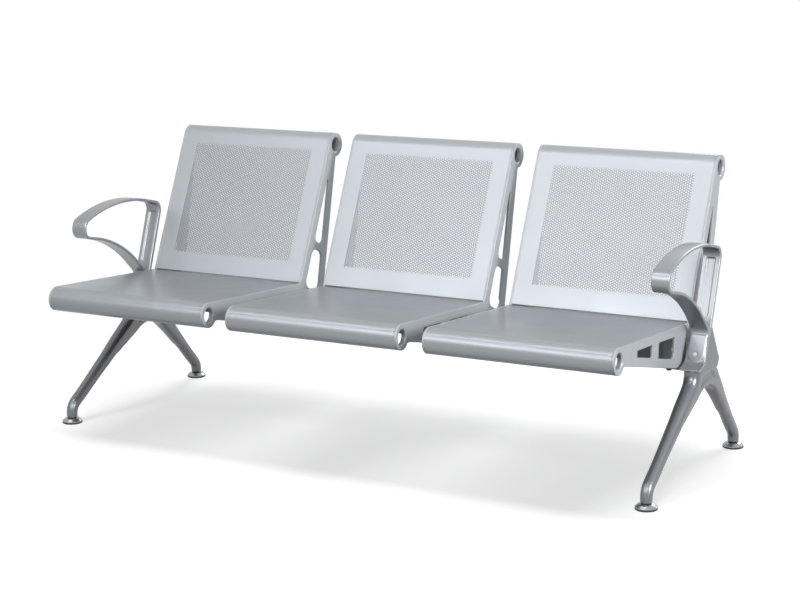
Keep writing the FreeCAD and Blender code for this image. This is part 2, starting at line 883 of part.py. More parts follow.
def clamp_bolts(label, x):
    body = piece(label, x)
    spots = [(f"{side} * (seat_width / 2 - clamp_bolt_inset)", y)
             for side in SIDES.values() for y in clamp_bolt_rows()]
    shank_and_head(body, "XY_Plane", spots, "beam_bottom - clamp_thick", "clamp_bolt_length",
                   BOLT, True)
    return body


def joint_bolts(label, x):
    """Bolts that pull the seat rails' end plates against the saddles."""
    body = piece(label, x)
    spots = [(f"{side} * (seat_width / 2 - joint_bolt_inset)", height)
             for side in SIDES.values() for height in joint_bolt_heights()]
    shank_and_head(body, "XZ_Plane", spots, "-(saddle_front - fit - end_plate)",
                   "joint_bolt_length", BOLT, False)
    return body


def panel_screws(label, x, runs_up):
    """Screws that come up through the ledges into a sheet."""
    body = piece(label, x)
    inset_x = "(seat_width / 2 - rail_web - ledge_width / 2)"
    spots = [(f"{side} * {inset_x}", run)
             for side in SIDES.values() for run in ("panel_screw_first", "panel_screw_second")]
    length = "ledge_depth + fit"
    if runs_up:
        plane = f"roll_radius - sheet - ({length})"
        shank_and_head(body, "XY_Plane", spots, plane, length, PANEL_SCREW, True)
        tilt(body, "roll_y", "roll_height", "-seat_tilt")
    else:
        plane = f"-(sheet + {length})"
        shank_and_head(body, "XZ_Plane", spots, plane, length, PANEL_SCREW, True)
        tilt(body, "junction_y", "junction_z", "-recline")
    return body


# Beam, legs and feet


def beam(label):
    body = piece(label)
    section = sketch_on(body, "YZ_Plane")
    low = ("beam_front", "beam_bottom")
    high = ("beam_rear", "beam_top")
    outline(section, [(*low, "beam_corner"), (high[0], low[1], "beam_corner"),
                      (*high, "beam_corner"), (low[0], high[1], "beam_corner")])
    wall = "beam_wall"
    inner = "beam_corner - beam_wall"
    outline(section, [
        (f"{low[0]} + {wall}", f"{low[1]} + {wall}", inner),
        (f"{high[0]} - {wall}", f"{low[1]} + {wall}", inner),
        (f"{high[0]} - {wall}", f"{high[1]} - {wall}", inner),
        (f"{low[0]} + {wall}", f"{high[1]} - {wall}", inner),
    ])
    grow(body, section, "2 * (leg_plane + leg_thick / 2 - beam_inset)", both=True)
    holes = sketch_on(body, "XZ_Plane", offset="-beam_rear")
    for side in SIDES.values():
        for _, height in leg_bolt_spots():
            circle(holes, (f"{side} * leg_plane", height), "bolt_radius + bolt_play")
    cut(body, holes, "2 * beam_wall", both=True)
    return body


def leg_bolt_spots():
    """Places of the two leg bolts over the floor, in the leg's middle."""
    return [("0", f"beam_middle - leg_bolt_drop + {sign} * leg_bolt_spread / 2")
            for sign in (-1, 1)]


def leg_section(body, y, z, wide, depth, corner):
    """Rounded section of a leg at one height."""
    sketch = sketch_on(body, "XY_Plane", offset=z)
    outline(sketch, [
        (f"-{wide} / 2", f"{y} - {depth} / 2", corner),
        (f"{wide} / 2", f"{y} - {depth} / 2", corner),
        (f"{wide} / 2", f"{y} + {depth} / 2", corner),
        (f"-{wide} / 2", f"{y} + {depth} / 2", corner),
    ])
    return sketch


def leg_limb(body, foot_y, ankle_rise, knee_y, knee_z, top, knee_round):
    """One tapering limb from its vertical ankle to the upper casting."""
    spine = sketch_on(body, "YZ_Plane")
    outline(spine, [
        (foot_y, "ankle_height"),
        (foot_y, ankle_rise, "ankle_round"),
        (knee_y, knee_z, knee_round),
        (knee_y, top),
    ], closed=False)
    ankle = leg_section(body, foot_y, "ankle_height", "ankle_width", "ankle_width",
                        "ankle_corner")
    head = leg_section(body, knee_y, top, "(leg_thick - fit)", "leg_top_depth", "leg_corner")
    limb = body.newObject("PartDesign::AdditivePipe", f"{body.Name}_limb")
    limb.Profile = ankle
    limb.Spine = (spine, [])
    limb.Sections = [head]
    limb.Transformation = "Multisection"
    doc.recompute()
    return limb


def seam_corners():
    """Bent joint line between a leg and its armrest, from the toe up to the fin."""
    return [
        from_beam("-arm_toe_out", "-arm_toe_drop"),
        from_beam("-arm_seam_bend_out", "-arm_seam_bend_drop"),
        from_beam("arm_seam_top_out", "seam_top_rise"),
    ]


def leg_arch(body, side):
    """Rounded rim over the opening between the limbs, and the thin web above it."""
    start = from_beam("arch_out - arch_reach * cos(arch_front_slope)",
                      "-arch_drop - arch_reach * sin(arch_front_slope)")
    crown = (*from_beam("arch_out", "-arch_drop"), "arch_round")
    end = from_beam("arch_out + arch_reach * cos(arch_rear_slope)",
                    "-arch_drop - arch_reach * sin(arch_rear_slope)")
    web = sketch_on(body, "YZ_Plane", offset=f"{side} * (leg_thick / 2 - web_recess)")
    outline(web, [
        from_beam("-front_knee_out", "fin_step - head_drop"),
        from_beam("-front_knee_out", "-front_knee_drop"),
        start,
        crown,
        end,
        from_beam("rear_knee_out + leg_top_depth / 2", "fin_step - head_drop"),
    ])
    grow(body, web, "web_thick", backwards=side > 0)
    spine = sketch_on(body, "YZ_Plane")
    outline(spine, [start, crown, end], closed=False)
    section = sketch_on(body, "XZ_Plane", base=("0", start[1]), offset=f"-({start[0]})",
                        turn="arch_front_slope")
    half = ("(leg_thick - fit) / 2", "arch_rim / 2")
    outline(section, [
        (f"-{half[0]}", f"-{half[1]}", f"{half[1]} * 0.95"),
        (half[0], f"-{half[1]}", f"{half[1]} * 0.95"),
        (half[0], half[1], f"{half[1]} * 0.95"),
        (f"-{half[0]}", half[1], f"{half[1]} * 0.95"),
    ])
    rim = body.newObject("PartDesign::AdditivePipe", f"{body.Name}_rim")
    rim.Profile = section
    rim.Spine = (spine, [])
    doc.recompute()
    flanks = sketch_on(body, "XZ_Plane", offset="-(beam_y)")
    high = "beam_middle - arch_drop"
    low = "beam_middle - arch_drop - arch_reach"
    for flank in SIDES.values():
        outline(flanks, [
            (f"{flank} * {half[0]}", high),
            (f"{flank} * ({half[0]} - arch_taper)", low),
            (f"{flank} * leg_thick", low),
            (f"{flank} * leg_thick", high),
        ])
    cut(body, flanks, "4 * arch_reach", both=True)


def leg(label, side):
    """Cast leg: a head with a fin and the beam's socket, two limbs and an arch between them."""
    body = piece(label, f"{side} * leg_plane")
    head = sketch_on(body, "YZ_Plane")
    outline(head, [
        from_beam("-front_knee_out", "-head_drop"),
        from_beam("fin_rear_out - 2 * fin_step", "-head_drop"),
        from_beam("fin_rear_out - fin_step", "-fin_rear_drop - 1.5 * fin_step"),
        from_beam("fin_rear_out", "-fin_rear_drop"),
        (*from_beam("fin_out", "fin_rise"), "fin_round"),
        from_beam("arm_seam_top_out", "seam_top_rise"),
        from_beam("-front_knee_out", "-arm_seam_bend_drop"),
    ])
    grow(body, head, "leg_thick", both=True)
    leg_arch(body, side)
    leg_limb(body, "front_foot_y", "front_ankle_rise", "beam_y - front_knee_out",
             "beam_middle - front_knee_drop", "beam_middle - front_leg_drop", "front_knee_round")
    leg_limb(body, "rear_foot_y", "rear_ankle_rise", "beam_y + rear_knee_out",
             "beam_middle - rear_knee_drop", "beam_middle - rear_leg_drop", "rear_knee_round")
    seam = sketch_on(body, "YZ_Plane")
    outline(seam, [
        *seam_corners(),
        from_beam("arm_seam_top_out", "fin_rise + fin_step"),
        from_beam("-arm_toe_out", "fin_rise + fin_step"),
    ])
    cut(body, seam, "2 * leg_thick", both=True)
    socket = sketch_on(body, "YZ_Plane", offset=f"{side} * (leg_thick / 2 - leg_wall)")
    box(socket, ("beam_front - fit", "beam_bottom - fit"), ("beam_rear + fit", "beam_top + fit"))
    cut(body, socket, "leg_thick", backwards=side < 0)
    studs = sketch_on(body, "XY_Plane", offset="0")
    for y in ("front_foot_y", "rear_foot_y"):
        circle(studs, ("0", y), "stud_radius + stud_play")
    cut(body, studs, "foot_stud_top + stud_end_play", backwards=True)
    bolts = sketch_on(body, "XZ_Plane", offset="-(beam_y)")
    heads = sketch_on(body, "XZ_Plane", offset="-(beam_rear + leg_bolt_grip)")
    for spot in leg_bolt_spots():
        circle(bolts, spot, "bolt_radius + bolt_play")
        circle(heads, spot, "bolt_head_radius + fit")
    cut(body, bolts, "fin_rear_out", backwards=False)
    cut(body, heads, "fin_rear_out", backwards=False)
    screw = tab_sketch(body, "0")
    circle(screw, ("0", "arm_screw_up"), "arm_screw_radius + bolt_play")
    cut(body, screw, "arm_screw_length + stud_end_play", backwards=False)
    return body


def leg_bolts(label, side):
    body = piece(label, f"{side} * leg_plane")
    shank_and_head(body, "XZ_Plane", leg_bolt_spots(), "-(beam_rear + leg_bolt_grip)",
                   "leg_bolt_grip + 2 * beam_wall", BOLT, True)
    return body


def tab_sketch(body, depth):
    """Sketch on the armrest's sloping front face, a depth above it, from its lower end."""
    return sketch_on(
        body, "XY_Plane",
        base=("0", f"beam_y - arm_flare_out - ({depth}) * cos(tab_lean)"),
        offset=f"beam_middle - arm_flare_drop + ({depth}) * sin(tab_lean)",
        turn="90 - tab_lean")


def armrest(label, side):
    """Cast armrest: a closed ribbon over a wedge-shaped foot, with a tab, groove and screw hole."""
    body = piece(label, f"{side} * leg_plane")
    flare = (*from_beam("-arm_flare_out", "-arm_flare_drop"), "arm_flare_round")
    toe = from_beam("-arm_toe_out", "arm_toe_lip - arm_toe_drop")
    profile = sketch_on(body, "YZ_Plane")
    runs = outline(profile, [
        *seam_corners(),
        (*from_beam("arm_corner_out", "arm_corner_rise"), "arm_corner_round"),
        (*from_beam("-arm_crown_out", "arm_crown_rise"), "arm_crown_round"),
        (*from_beam("-arm_nose_out", "arm_nose_rise + arm_nose_height"), "arm_nose_high_round"),
        (*from_beam("-arm_nose_out", "arm_nose_rise"), "arm_nose_low_round"),
        (*from_beam("-arm_sweep_out", "arm_sweep_rise"), "arm_sweep_round"),
        (*from_beam("-arm_knee_out", "arm_knee_rise"), "arm_knee_round"),
        flare,
        toe,
    ])
    inset(profile, runs[2:8],
          ["arm_post_thick"] + ["arm_thick"] * 5,
          ["arm_crotch_round", "arm_corner_round - arm_thick", "arm_crown_round - arm_thick",
           "arm_nose_high_round - arm_thick", "arm_nose_low_round - arm_thick",
           "arm_sweep_round + arm_thick"])
    grow(body, profile, "arm_width", both=True)
    above_seam = number("beam_middle + seam_top_rise + arm_edge")
    rim = edges_where(body, lambda edge: edge.BoundBox.XLength < 0.01
                      and edge.BoundBox.ZMax > above_seam)
    soften(body, "Fillet", rim, "arm_edge")
    arm_foot(body, flare, toe)
    tab = tab_sketch(body, "0")
    slot_outline(tab, "arm_tab_width", "0", "arm_tab_length")
    grow(body, tab, "arm_tab_rise")
    hole = tab_sketch(body, "arm_tab_rise")
    circle(hole, ("0", "arm_screw_up"), "arm_screw_radius + bolt_play")
    cut(body, hole, "arm_screw_length")
    recess = tab_sketch(body, "arm_tab_rise")
    circle(recess, ("0", "arm_screw_up"), "arm_screw_head_radius + fit")
    cut(body, recess, "arm_screw_head")
    groove = sketch_on(
        body, "XY_Plane",
        base=("0", "beam_y + arm_seam_top_out - arm_post_thick * cos(post_lean)"),
        offset="beam_middle + seam_top_rise + arm_post_thick * sin(post_lean)",
        turn="90 - post_lean")
    slot_outline(groove, "arm_groove_width", "arm_groove_start", "arm_groove_length")
    cut(body, groove, "arm_groove_depth")
    return body


def arm_foot(body, flare, toe):
    """Lower end of the armrest, which widens towards the toe."""
    seam_rise = ("(arm_seam_bend_out + arm_seam_top_out)"
                 " / (seam_top_rise + arm_seam_bend_drop)")
    foot = sketch_on(body, "YZ_Plane")
    toe_low, bend, _ = seam_corners()
    outline(foot, [
        toe_low,
        bend,
        from_beam(f"(arm_foot_rise + arm_seam_bend_drop) * {seam_rise} - arm_seam_bend_out",
                  "arm_foot_rise"),
        from_beam("(arm_foot_rise - arm_knee_rise) * tan(tab_lean) - arm_knee_out",
                  "arm_foot_rise"),
        flare,
        toe,
    ])
    grow(body, foot, "arm_foot_width", both=True)
    flanks = sketch_on(body, "XZ_Plane", offset="-(beam_y)")
    for side in SIDES.values():
        outline(flanks, [
            (f"{side} * arm_width / 2", "beam_middle + arm_foot_rise"),
            (f"{side} * arm_foot_width / 2", "beam_middle - arm_foot_drop"),
            (f"{side} * arm_foot_width", "beam_middle - arm_foot_drop"),
            (f"{side} * arm_foot_width", "beam_middle + arm_foot_rise"),
        ])
    cut(body, flanks, "4 * arm_toe_out", both=True)


def slot_outline(sketch, width, low, length):
    """Upright outline with a round lower end and square upper corners."""
    half = f"({width}) / 2"
    outline(sketch, [
        (f"-{half}", low, f"{half} * 0.98"),
        (half, low, f"{half} * 0.98"),
        (half, f"{low} + {length}"),
        (f"-{half}", f"{low} + {length}"),
    ])


def armrest_screw(label, side):
    body = piece(label, f"{side} * leg_plane")
    for radius, length in (("arm_screw_head_radius", "arm_screw_head"),
                           ("arm_screw_radius", "arm_screw_length")):
        start = tab_sketch(body, "arm_tab_rise" if "head" in radius else
                           "arm_tab_rise - arm_screw_head / 2")
        circle(start, ("0", "arm_screw_up"), radius)
        grow(body, start, length, backwards=True)
    return body


def glide(label, x, y):
    """Levelling foot: a domed cup with its stud, turned in one piece."""
    body = piece(label, x)
    profile = sketch_on(body, "YZ_Plane")
    outline(profile, [
        ("0", "foot_rubber"),
        ("foot_radius - fit", "foot_rubber"),
        ("foot_radius - fit", "foot_rubber + foot_rim"),
        ("foot_dome_radius", "foot_top - foot_dome_drop", "foot_dome_round"),
        ("foot_neck_radius", "foot_top"),
        ("stud_radius", "foot_top"),
        ("stud_radius", "foot_stud_top"),
        ("0", "foot_stud_top"),
    ])
    turned(body, profile)
    body.setExpression("Placement.Base.y", formula(y))
    return body


def glide_pad(label, x, y):
    """Rubber disc under a levelling foot."""
    body = piece(label, x)
    profile = sketch_on(body, "YZ_Plane")
    edge = "foot_rubber / 4"
    outline(profile, [
        ("0", "0"),
        (f"foot_radius - {edge}", "0"),
        ("foot_radius", edge),
        ("foot_radius", "foot_rubber"),
        ("0", "foot_rubber"),
    ])
    turned(body, profile)
    body.setExpression("Placement.Base.y", formula(y))
    return body


def turned(body, profile):
    feature = body.newObject("PartDesign::Revolution", f"{body.Name}_turned")
    feature.Profile = profile
    feature.ReferenceAxis = (profile, ["V_Axis"])
    doc.recompute()
    return feature


def build():
    fill_sheets()
    beam("beam")
    for number_in_row, place in enumerate(PLACES_IN_ROW, start=1):
        centre = f"{place} * seat_pitch"
        seat_panel(f"seat_panel_{number_in_row}", centre)
        back_panel(f"back_panel_{number_in_row}", centre)
        for name, side in SIDES.items():
            face = f"{centre} + {side} * seat_width / 2"
            seat_rail(f"seat_rail_{number_in_row}_{name}", face, side)
            back_rail(f"back_rail_{number_in_row}_{name}", face, side)
        clamp_plates(f"clamp_plates_{number_in_row}", centre)
        clamp_bolts(f"clamp_bolts_{number_in_row}", centre)
        joint_bolts(f"joint_bolts_{number_in_row}", centre)
        panel_screws(f"seat_screws_{number_in_row}", centre, True)
        panel_screws(f"back_screws_{number_in_row}", centre, False)
    for name, side in SIDES.items():
        leg(f"leg_{name}", side)
        leg_bolts(f"leg_bolts_{name}", side)
        armrest(f"armrest_{name}", side)
        armrest_screw(f"armrest_screw_{name}", side)
        for row in ("front", "rear"):
            spot = (f"{side} * leg_plane", f"{row}_foot_y")
            glide(f"glide_{row}_{name}", *spot)
            glide_pad(f"glide_pad_{row}_{name}", *spot)


def check():
    """Stop on any failed object or broken solid."""
    doc.recompute()
    failed = [item.Label for item in doc.Objects
              if any(state in ("Invalid", "Error") for state in item.State)]
    if failed:
        raise ValueError(f"failed: {failed}")
    for body in pieces:
        if body.Shape.isNull() or not body.Shape.isValid() or not body.Shape.Solids:
            raise ValueError(f"{body.Label} has no sound solid")


def write():
    os.makedirs("parts", exist_ok=True)
    for body in pieces:
        body.Shape.exportStep(f"parts/{body.Label}.step")


build()
check()
write()
whole = Part.makeCompound([body.Shape for body in pieces]).BoundBox
print(f"{len(pieces)} pieces, x {whole.XMin:.1f}..{whole.XMax:.1f}, "
      f"y {whole.YMin:.1f}..{whole.YMax:.1f}, z {whole.ZMin:.1f}..{whole.ZMax:.1f}")
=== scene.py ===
"""Looks of a three-place beam seat: rolled and perforated sheets, castings, feet and the studio."""

import logging
import math
from collections.abc import Sequence
from dataclasses import dataclass, field
from enum import Enum
from typing import ClassVar

import bmesh
import bpy
import numpy as np
from mathutils import Matrix, Vector


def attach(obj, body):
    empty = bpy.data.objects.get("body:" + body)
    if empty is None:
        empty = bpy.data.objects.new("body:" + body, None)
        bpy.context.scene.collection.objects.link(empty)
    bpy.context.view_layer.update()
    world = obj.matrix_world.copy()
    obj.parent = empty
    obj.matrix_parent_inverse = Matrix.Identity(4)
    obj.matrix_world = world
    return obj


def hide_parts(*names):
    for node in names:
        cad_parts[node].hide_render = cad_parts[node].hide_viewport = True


LOG = logging.getLogger("beam_seat")
PHOTO_WIDTH = 800
SENSOR_WIDTH = 36.0
SIDES = ("left", "right")
PLACES = (1, 2, 3)
MIDDLE_PLACE = 2

Triple = tuple[float, float, float]
WHITE: Triple = (1.0, 1.0, 1.0)


class Kind(Enum):
    """The two sheets of one place."""

    SEAT = "seat"
    BACK = "back"


def add_node(tree: bpy.types.NodeTree, kind: str, values: dict[str | int, object] | None = None,
             **settings: object) -> bpy.types.Node:
    """Add a node to a tree.

    Args:
        tree: Tree to add to.
        kind: Type of the node.
        values: Values of its inputs.
        **settings: Settings of the node itself.

    Returns:
        The node.
    """
    made = tree.nodes.new(kind)
    for name, setting in settings.items():
        setattr(made, name, setting)
    for socket, value in (values or {}).items():
        made.inputs[socket].default_value = value
    return made


def join(tree: bpy.types.NodeTree,
         *wires: tuple[bpy.types.Node, str | int, bpy.types.Node, str | int]) -> None:
    """Join nodes of a tree.

    Args:
        tree: Their tree.
        *wires: A node, its output, the next node and its input.
    """
    for source, output, target, entry in wires:
        tree.links.new(source.outputs[output], target.inputs[entry])


def start_material(name: str) -> tuple[bpy.types.Material, bpy.types.Node]:
    """Start a material.

    Args:
        name: Its name.

    Returns:
        The material and its main shader.
    """
    made = bpy.data.materials.new(name)
    made.use_nodes = True
    return made, made.node_tree.nodes["Principled BSDF"]


def toned(colour: Triple, factor: float) -> tuple[float, float, float, float]:
    """A colour times a factor, with its opacity."""
    return (*[min(1.0, channel * factor) for channel in colour], 1.0)


@dataclass(frozen=True)
class SatinPaint:
    """Silver powder paint with a fine flake and a light orange peel.

    Attributes:
        name: Material name.
        colour: Linear base colour.
        metallic: Share of metal flake in the paint.
        roughness: Mean roughness.
        flake: Strength of the flake's brightness change.
        peel: Height of the orange peel in metres.
        peel_size: Width of one wave of the orange peel in metres.
        edge: Radius that the shading gives to sharp edges, in metres, or zero for none.
        sheen: Strength of the clear surface's reflection.
    """

    FLAKE_SCALE: ClassVar[float] = 900.0
    CLOUD_SCALE: ClassVar[float] = 9.0
    GLOSS_CHANGE: ClassVar[float] = 0.035
    PEEL_STRENGTH: ClassVar[float] = 0.6

    name: str
    colour: Triple
    metallic: float
    roughness: float
    flake: float = 0.05
    peel: float = 0.00001
    peel_size: float = 0.004
    edge: float = 0.0
    sheen: float = 0.3

    def material(self) -> bpy.types.Material:
        """Build the paint's nodes.

        Returns:
            The finished material.
        """
        made, shader = start_material(self.name)
        tree = made.node_tree
        shader.inputs["Metallic"].default_value = self.metallic
        shader.inputs["Specular IOR Level"].default_value = self.sheen
        place = add_node(tree, "ShaderNodeTexCoord")
        flakes = add_node(tree, "ShaderNodeTexNoise", {"Scale": self.FLAKE_SCALE, "Detail": 2.0})
        clouds = add_node(tree, "ShaderNodeTexNoise", {"Scale": self.CLOUD_SCALE, "Detail": 3.0})
        peel = add_node(tree, "ShaderNodeTexNoise", {"Scale": 1.0 / self.peel_size, "Detail": 1.0})
        tone = add_node(tree, "ShaderNodeMixRGB", {
            "Color1": toned(self.colour, 1.0 - self.flake),
            "Color2": toned(self.colour, 1.0 + self.flake)})
        gloss = add_node(tree, "ShaderNodeMapRange", {
            "From Min": 0.3, "From Max": 0.7,
            "To Min": self.roughness - self.GLOSS_CHANGE,
            "To Max": self.roughness + self.GLOSS_CHANGE})
        bump = add_node(tree, "ShaderNodeBump", {
            "Strength": self.PEEL_STRENGTH, "Distance": self.peel})
        join(tree,
             (place, "Object", flakes, "Vector"), (place, "Object", clouds, "Vector"),
             (place, "Object", peel, "Vector"), (flakes, "Fac", tone, "Fac"),
             (tone, "Color", shader, "Base Color"), (clouds, "Fac", gloss, "Value"),
             (gloss, "Result", shader, "Roughness"), (peel, "Fac", bump, "Height"),
             (bump, "Normal", shader, "Normal"))
        if self.edge > 0.0:
            soft = add_node(tree, "ShaderNodeBevel", {"Radius": self.edge}, samples=4)
            join(tree, (soft, "Normal", bump, "Normal"))
        return made


@dataclass(frozen=True)
class TurnedMetal:
    """Bright plated steel with faint turning rings.

    Attributes:
        name: Material name.
        colour: Linear base colour.
        roughness: Mean roughness.
    """

    RING_STRETCH: ClassVar[Triple] = (4.0, 4.0, 900.0)

    name: str
    colour: Triple
    roughness: float

    def material(self) -> bpy.types.Material:
        """Build the metal's nodes.

        Returns:
            The finished material.
        """
        made, shader = start_material(self.name)
        tree = made.node_tree
        shader.inputs["Metallic"].default_value = 1.0
        shader.inputs["Base Color"].default_value = (*self.colour, 1.0)
        place = add_node(tree, "ShaderNodeTexCoord")
        stretch = add_node(tree, "ShaderNodeMapping", {"Scale": self.RING_STRETCH})
        rings = add_node(tree, "ShaderNodeTexNoise", {"Scale": 1.0})
        gloss = add_node(tree, "ShaderNodeMapRange", {
            "To Min": self.roughness - 0.05, "To Max": self.roughness + 0.08})
        join(tree,
             (place, "Object", stretch, "Vector"), (stretch, "Vector", rings, "Vector"),
             (rings, "Fac", gloss, "Value"), (gloss, "Result", shader, "Roughness"))
        return made


@dataclass(frozen=True)
class MouldedRubber:
    """Black rubber with a fine grain.

    Attributes:
        name: Material name.
        colour: Linear base colour.
        roughness: Mean roughness.
    """

    GRAIN_SCALE: ClassVar[float] = 700.0
    GRAIN_HEIGHT: ClassVar[float] = 0.0002

    name: str
    colour: Triple
    roughness: float

    def material(self) -> bpy.types.Material:
        """Build the rubber's nodes.

        Returns:
            The finished material.
        """
        made, shader = start_material(self.name)
        tree = made.node_tree
        shader.inputs["Roughness"].default_value = self.roughness
        place = add_node(tree, "ShaderNodeTexCoord")
        grain = add_node(tree, "ShaderNodeTexNoise", {"Scale": self.GRAIN_SCALE})
        tone = add_node(tree, "ShaderNodeMixRGB", {
            "Color1": toned(self.colour, 0.7), "Color2": toned(self.colour, 1.3)})
        bump = add_node(tree, "ShaderNodeBump", {"Strength": 0.4, "Distance": self.GRAIN_HEIGHT})
        join(tree,
             (place, "Object", grain, "Vector"), (grain, "Fac", tone, "Fac"),
             (grain, "Fac", bump, "Height"), (tone, "Color", shader, "Base Color"),
             (bump, "Normal", shader, "Normal"))
        return made


@dataclass
class Finishes:
    """Every finish of the bench, built once."""

    back: bpy.types.Material = field(init=False)
    # holes is painted shade: the perforated field is a darker copy of the back's paint, standing in
    # for the shade round every hole.
    holes: bpy.types.Material = field(init=False)
    # hole_wall is painted shade: near black paint stands in for the shade inside the holes.
    hole_wall: bpy.types.Material = field(init=False)
    seat: bpy.types.Material = field(init=False)
    rail: bpy.types.Material = field(init=False)
    leg: bpy.types.Material = field(init=False)
    armrest: bpy.types.Material = field(init=False)
    beam: bpy.types.Material = field(init=False)
    steel: bpy.types.Material = field(init=False)
    black: bpy.types.Material = field(init=False)
    plated: bpy.types.Material = field(init=False)
    rubber: bpy.types.Material = field(init=False)

    def __post_init__(self) -> None:
        """Build the materials."""
        self.back = SatinPaint("back_sheet_paint", (0.355, 0.378, 0.403), 0.3, 0.36).material()
        # Painted shade: the perforated field is drawn darker than the back's paint.
        self.holes = SatinPaint("painted_shade_between_holes", (0.285, 0.303, 0.325), 0.3, 0.38).material()
        # Painted shade: near black hole walls stand in for the shade inside the holes.
        self.hole_wall = SatinPaint("painted_shade_in_holes", (0.04, 0.043, 0.046), 0.0, 0.5).material()
        self.seat = SatinPaint("seat_sheet_paint", (0.285, 0.305, 0.327), 0.36, 0.33).material()
        self.rail = SatinPaint("rail_paint", (0.37, 0.394, 0.42), 0.1, 0.36,
                               edge=0.003, sheen=0.25).material()
        self.leg = SatinPaint("leg_paint", (0.16, 0.17, 0.182), 0.55, 0.31, sheen=0.7).material()
        self.armrest = SatinPaint("armrest_paint", (0.26, 0.276, 0.295), 0.5, 0.31,
                                  sheen=0.7).material()
        self.beam = SatinPaint("beam_paint", (0.28, 0.30, 0.32), 0.1, 0.42).material()
        self.steel = TurnedMetal("bolt_steel", (0.55, 0.56, 0.58), 0.3).material()
        self.black = MouldedRubber("black_bolt", (0.02, 0.02, 0.022), 0.4).material()
        self.plated = TurnedMetal("foot_plating", (0.31, 0.32, 0.33), 0.3).material()
        self.rubber = MouldedRubber("foot_rubber", (0.018, 0.018, 0.018), 0.6).material()


def finish_piece(name: str, mesh: bpy.types.Mesh, nodes: tuple[str, ...],
                 body: str = "frame") -> bpy.types.Object:
    """Put a finished mesh in the scene in place of CAD nodes.

    Args:
        name: Name of the piece.
        mesh: Its mesh, in the part's own frame, with its materials.
        nodes: The CAD nodes it stands for.
        body: The body it rides on.

    Returns:
        The new object.
    """
    mesh.name = name
    made = bpy.data.objects.new(name, mesh)
    bpy.context.scene.collection.objects.link(made)
    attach(made, body)
    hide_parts(*nodes)
    return made


def smooth_by_angle(mesh: bpy.types.Mesh, degrees: float) -> None:
    """Shade a mesh smooth, apart from edges sharper than an angle."""
    mesh.polygons.foreach_set("use_smooth", [True] * len(mesh.polygons))
    mesh.set_sharp_from_angle(angle=math.radians(degrees))


@dataclass(frozen=True)
class SheetSizes:
    """Sizes of the rolled sheets, in metres and degrees.

    Attributes:
        roll_radius: Outer radius of a roll.
        thickness: Thickness of the sheet.
        wrap: Angle that a roll turns through.
        hem: Depth of the hem behind the flat.
        hem_round: Outer radius of the hem's bend.
        width: Width of a sheet.
        seat_length: From the front roll's middle to the back's front face.
        back_length: From the seat's top face to the top roll's middle.
        gap: Play between the hems and what they stand on.
        tilt: Angle at which the seat falls to the rear.
        recline: Angle at which the back leans to the rear.
        roll_y: Place of the front roll's middle, from the bench's middle.
        roll_height: Height of the front roll's middle.
        pitch: Distance between two places.
    """

    roll_radius: float = 0.034
    thickness: float = 0.0015
    wrap: float = 200.0
    hem: float = 0.013
    hem_round: float = 0.003
    width: float = 0.5034
    seat_length: float = 0.458
    back_length: float = 0.429
    gap: float = 0.0003
    tilt: float = 3.6
    recline: float = 24.4
    roll_y: float = -0.3515
    roll_height: float = 0.385
    pitch: float = 0.590

    def corner(self) -> Vector:
        """Work out where the seat's top face meets the back's front face.

        Returns:
            The point, in the middle of the bench.
        """
        lean = math.radians(self.tilt)
        y = self.roll_y + self.seat_length * math.cos(lean) + self.roll_radius * math.sin(lean)
        z = (self.roll_height - self.seat_length * math.sin(lean)
             + self.roll_radius * math.cos(lean))
        return Vector((0.0, y, z))


@dataclass(frozen=True)
class PerforationSizes:
    """Hole pattern of a back sheet, in metres: upright columns, every other one half a step up.

    Attributes:
        columns: Number of columns.
        rows: Number of holes in a column.
        across: Distance between two columns.
        up: Distance between two holes of a column.
        hole_radius: Radius of a hole.
        hole_sides: Number of a hole's sides.
        start: Height up the back at which the pattern starts.
    """

    columns: int = 66
    rows: int = 47
    across: float = 0.00615
    up: float = 0.00715
    hole_radius: float = 0.0016
    hole_sides: int = 8
    start: float = 0.060

    def half_width(self) -> float:
        """Half the width of the whole pattern."""
        return self.columns * self.across / 2.0

    def half_steps(self) -> list[float]:
        """Heights up the back at which some hole's place starts or ends."""
        return [self.start + self.up / 2.0 * step for step in range(2 * self.rows + 2)]

    def holds(self, x: float, height: float) -> bool:
        """Whether a point of the flat lies in the pattern.

        Args:
            x: Distance to the right of the sheet's middle.
            height: Height up the back.

        Returns:
            True if one of the holes' places covers the point.
        """
        column = math.floor((x + self.half_width()) / self.across)
        if not 0 <= column < self.columns:
            return False
        low = self.start + (column % 2) * self.up / 2.0
        return low < height < low + self.rows * self.up


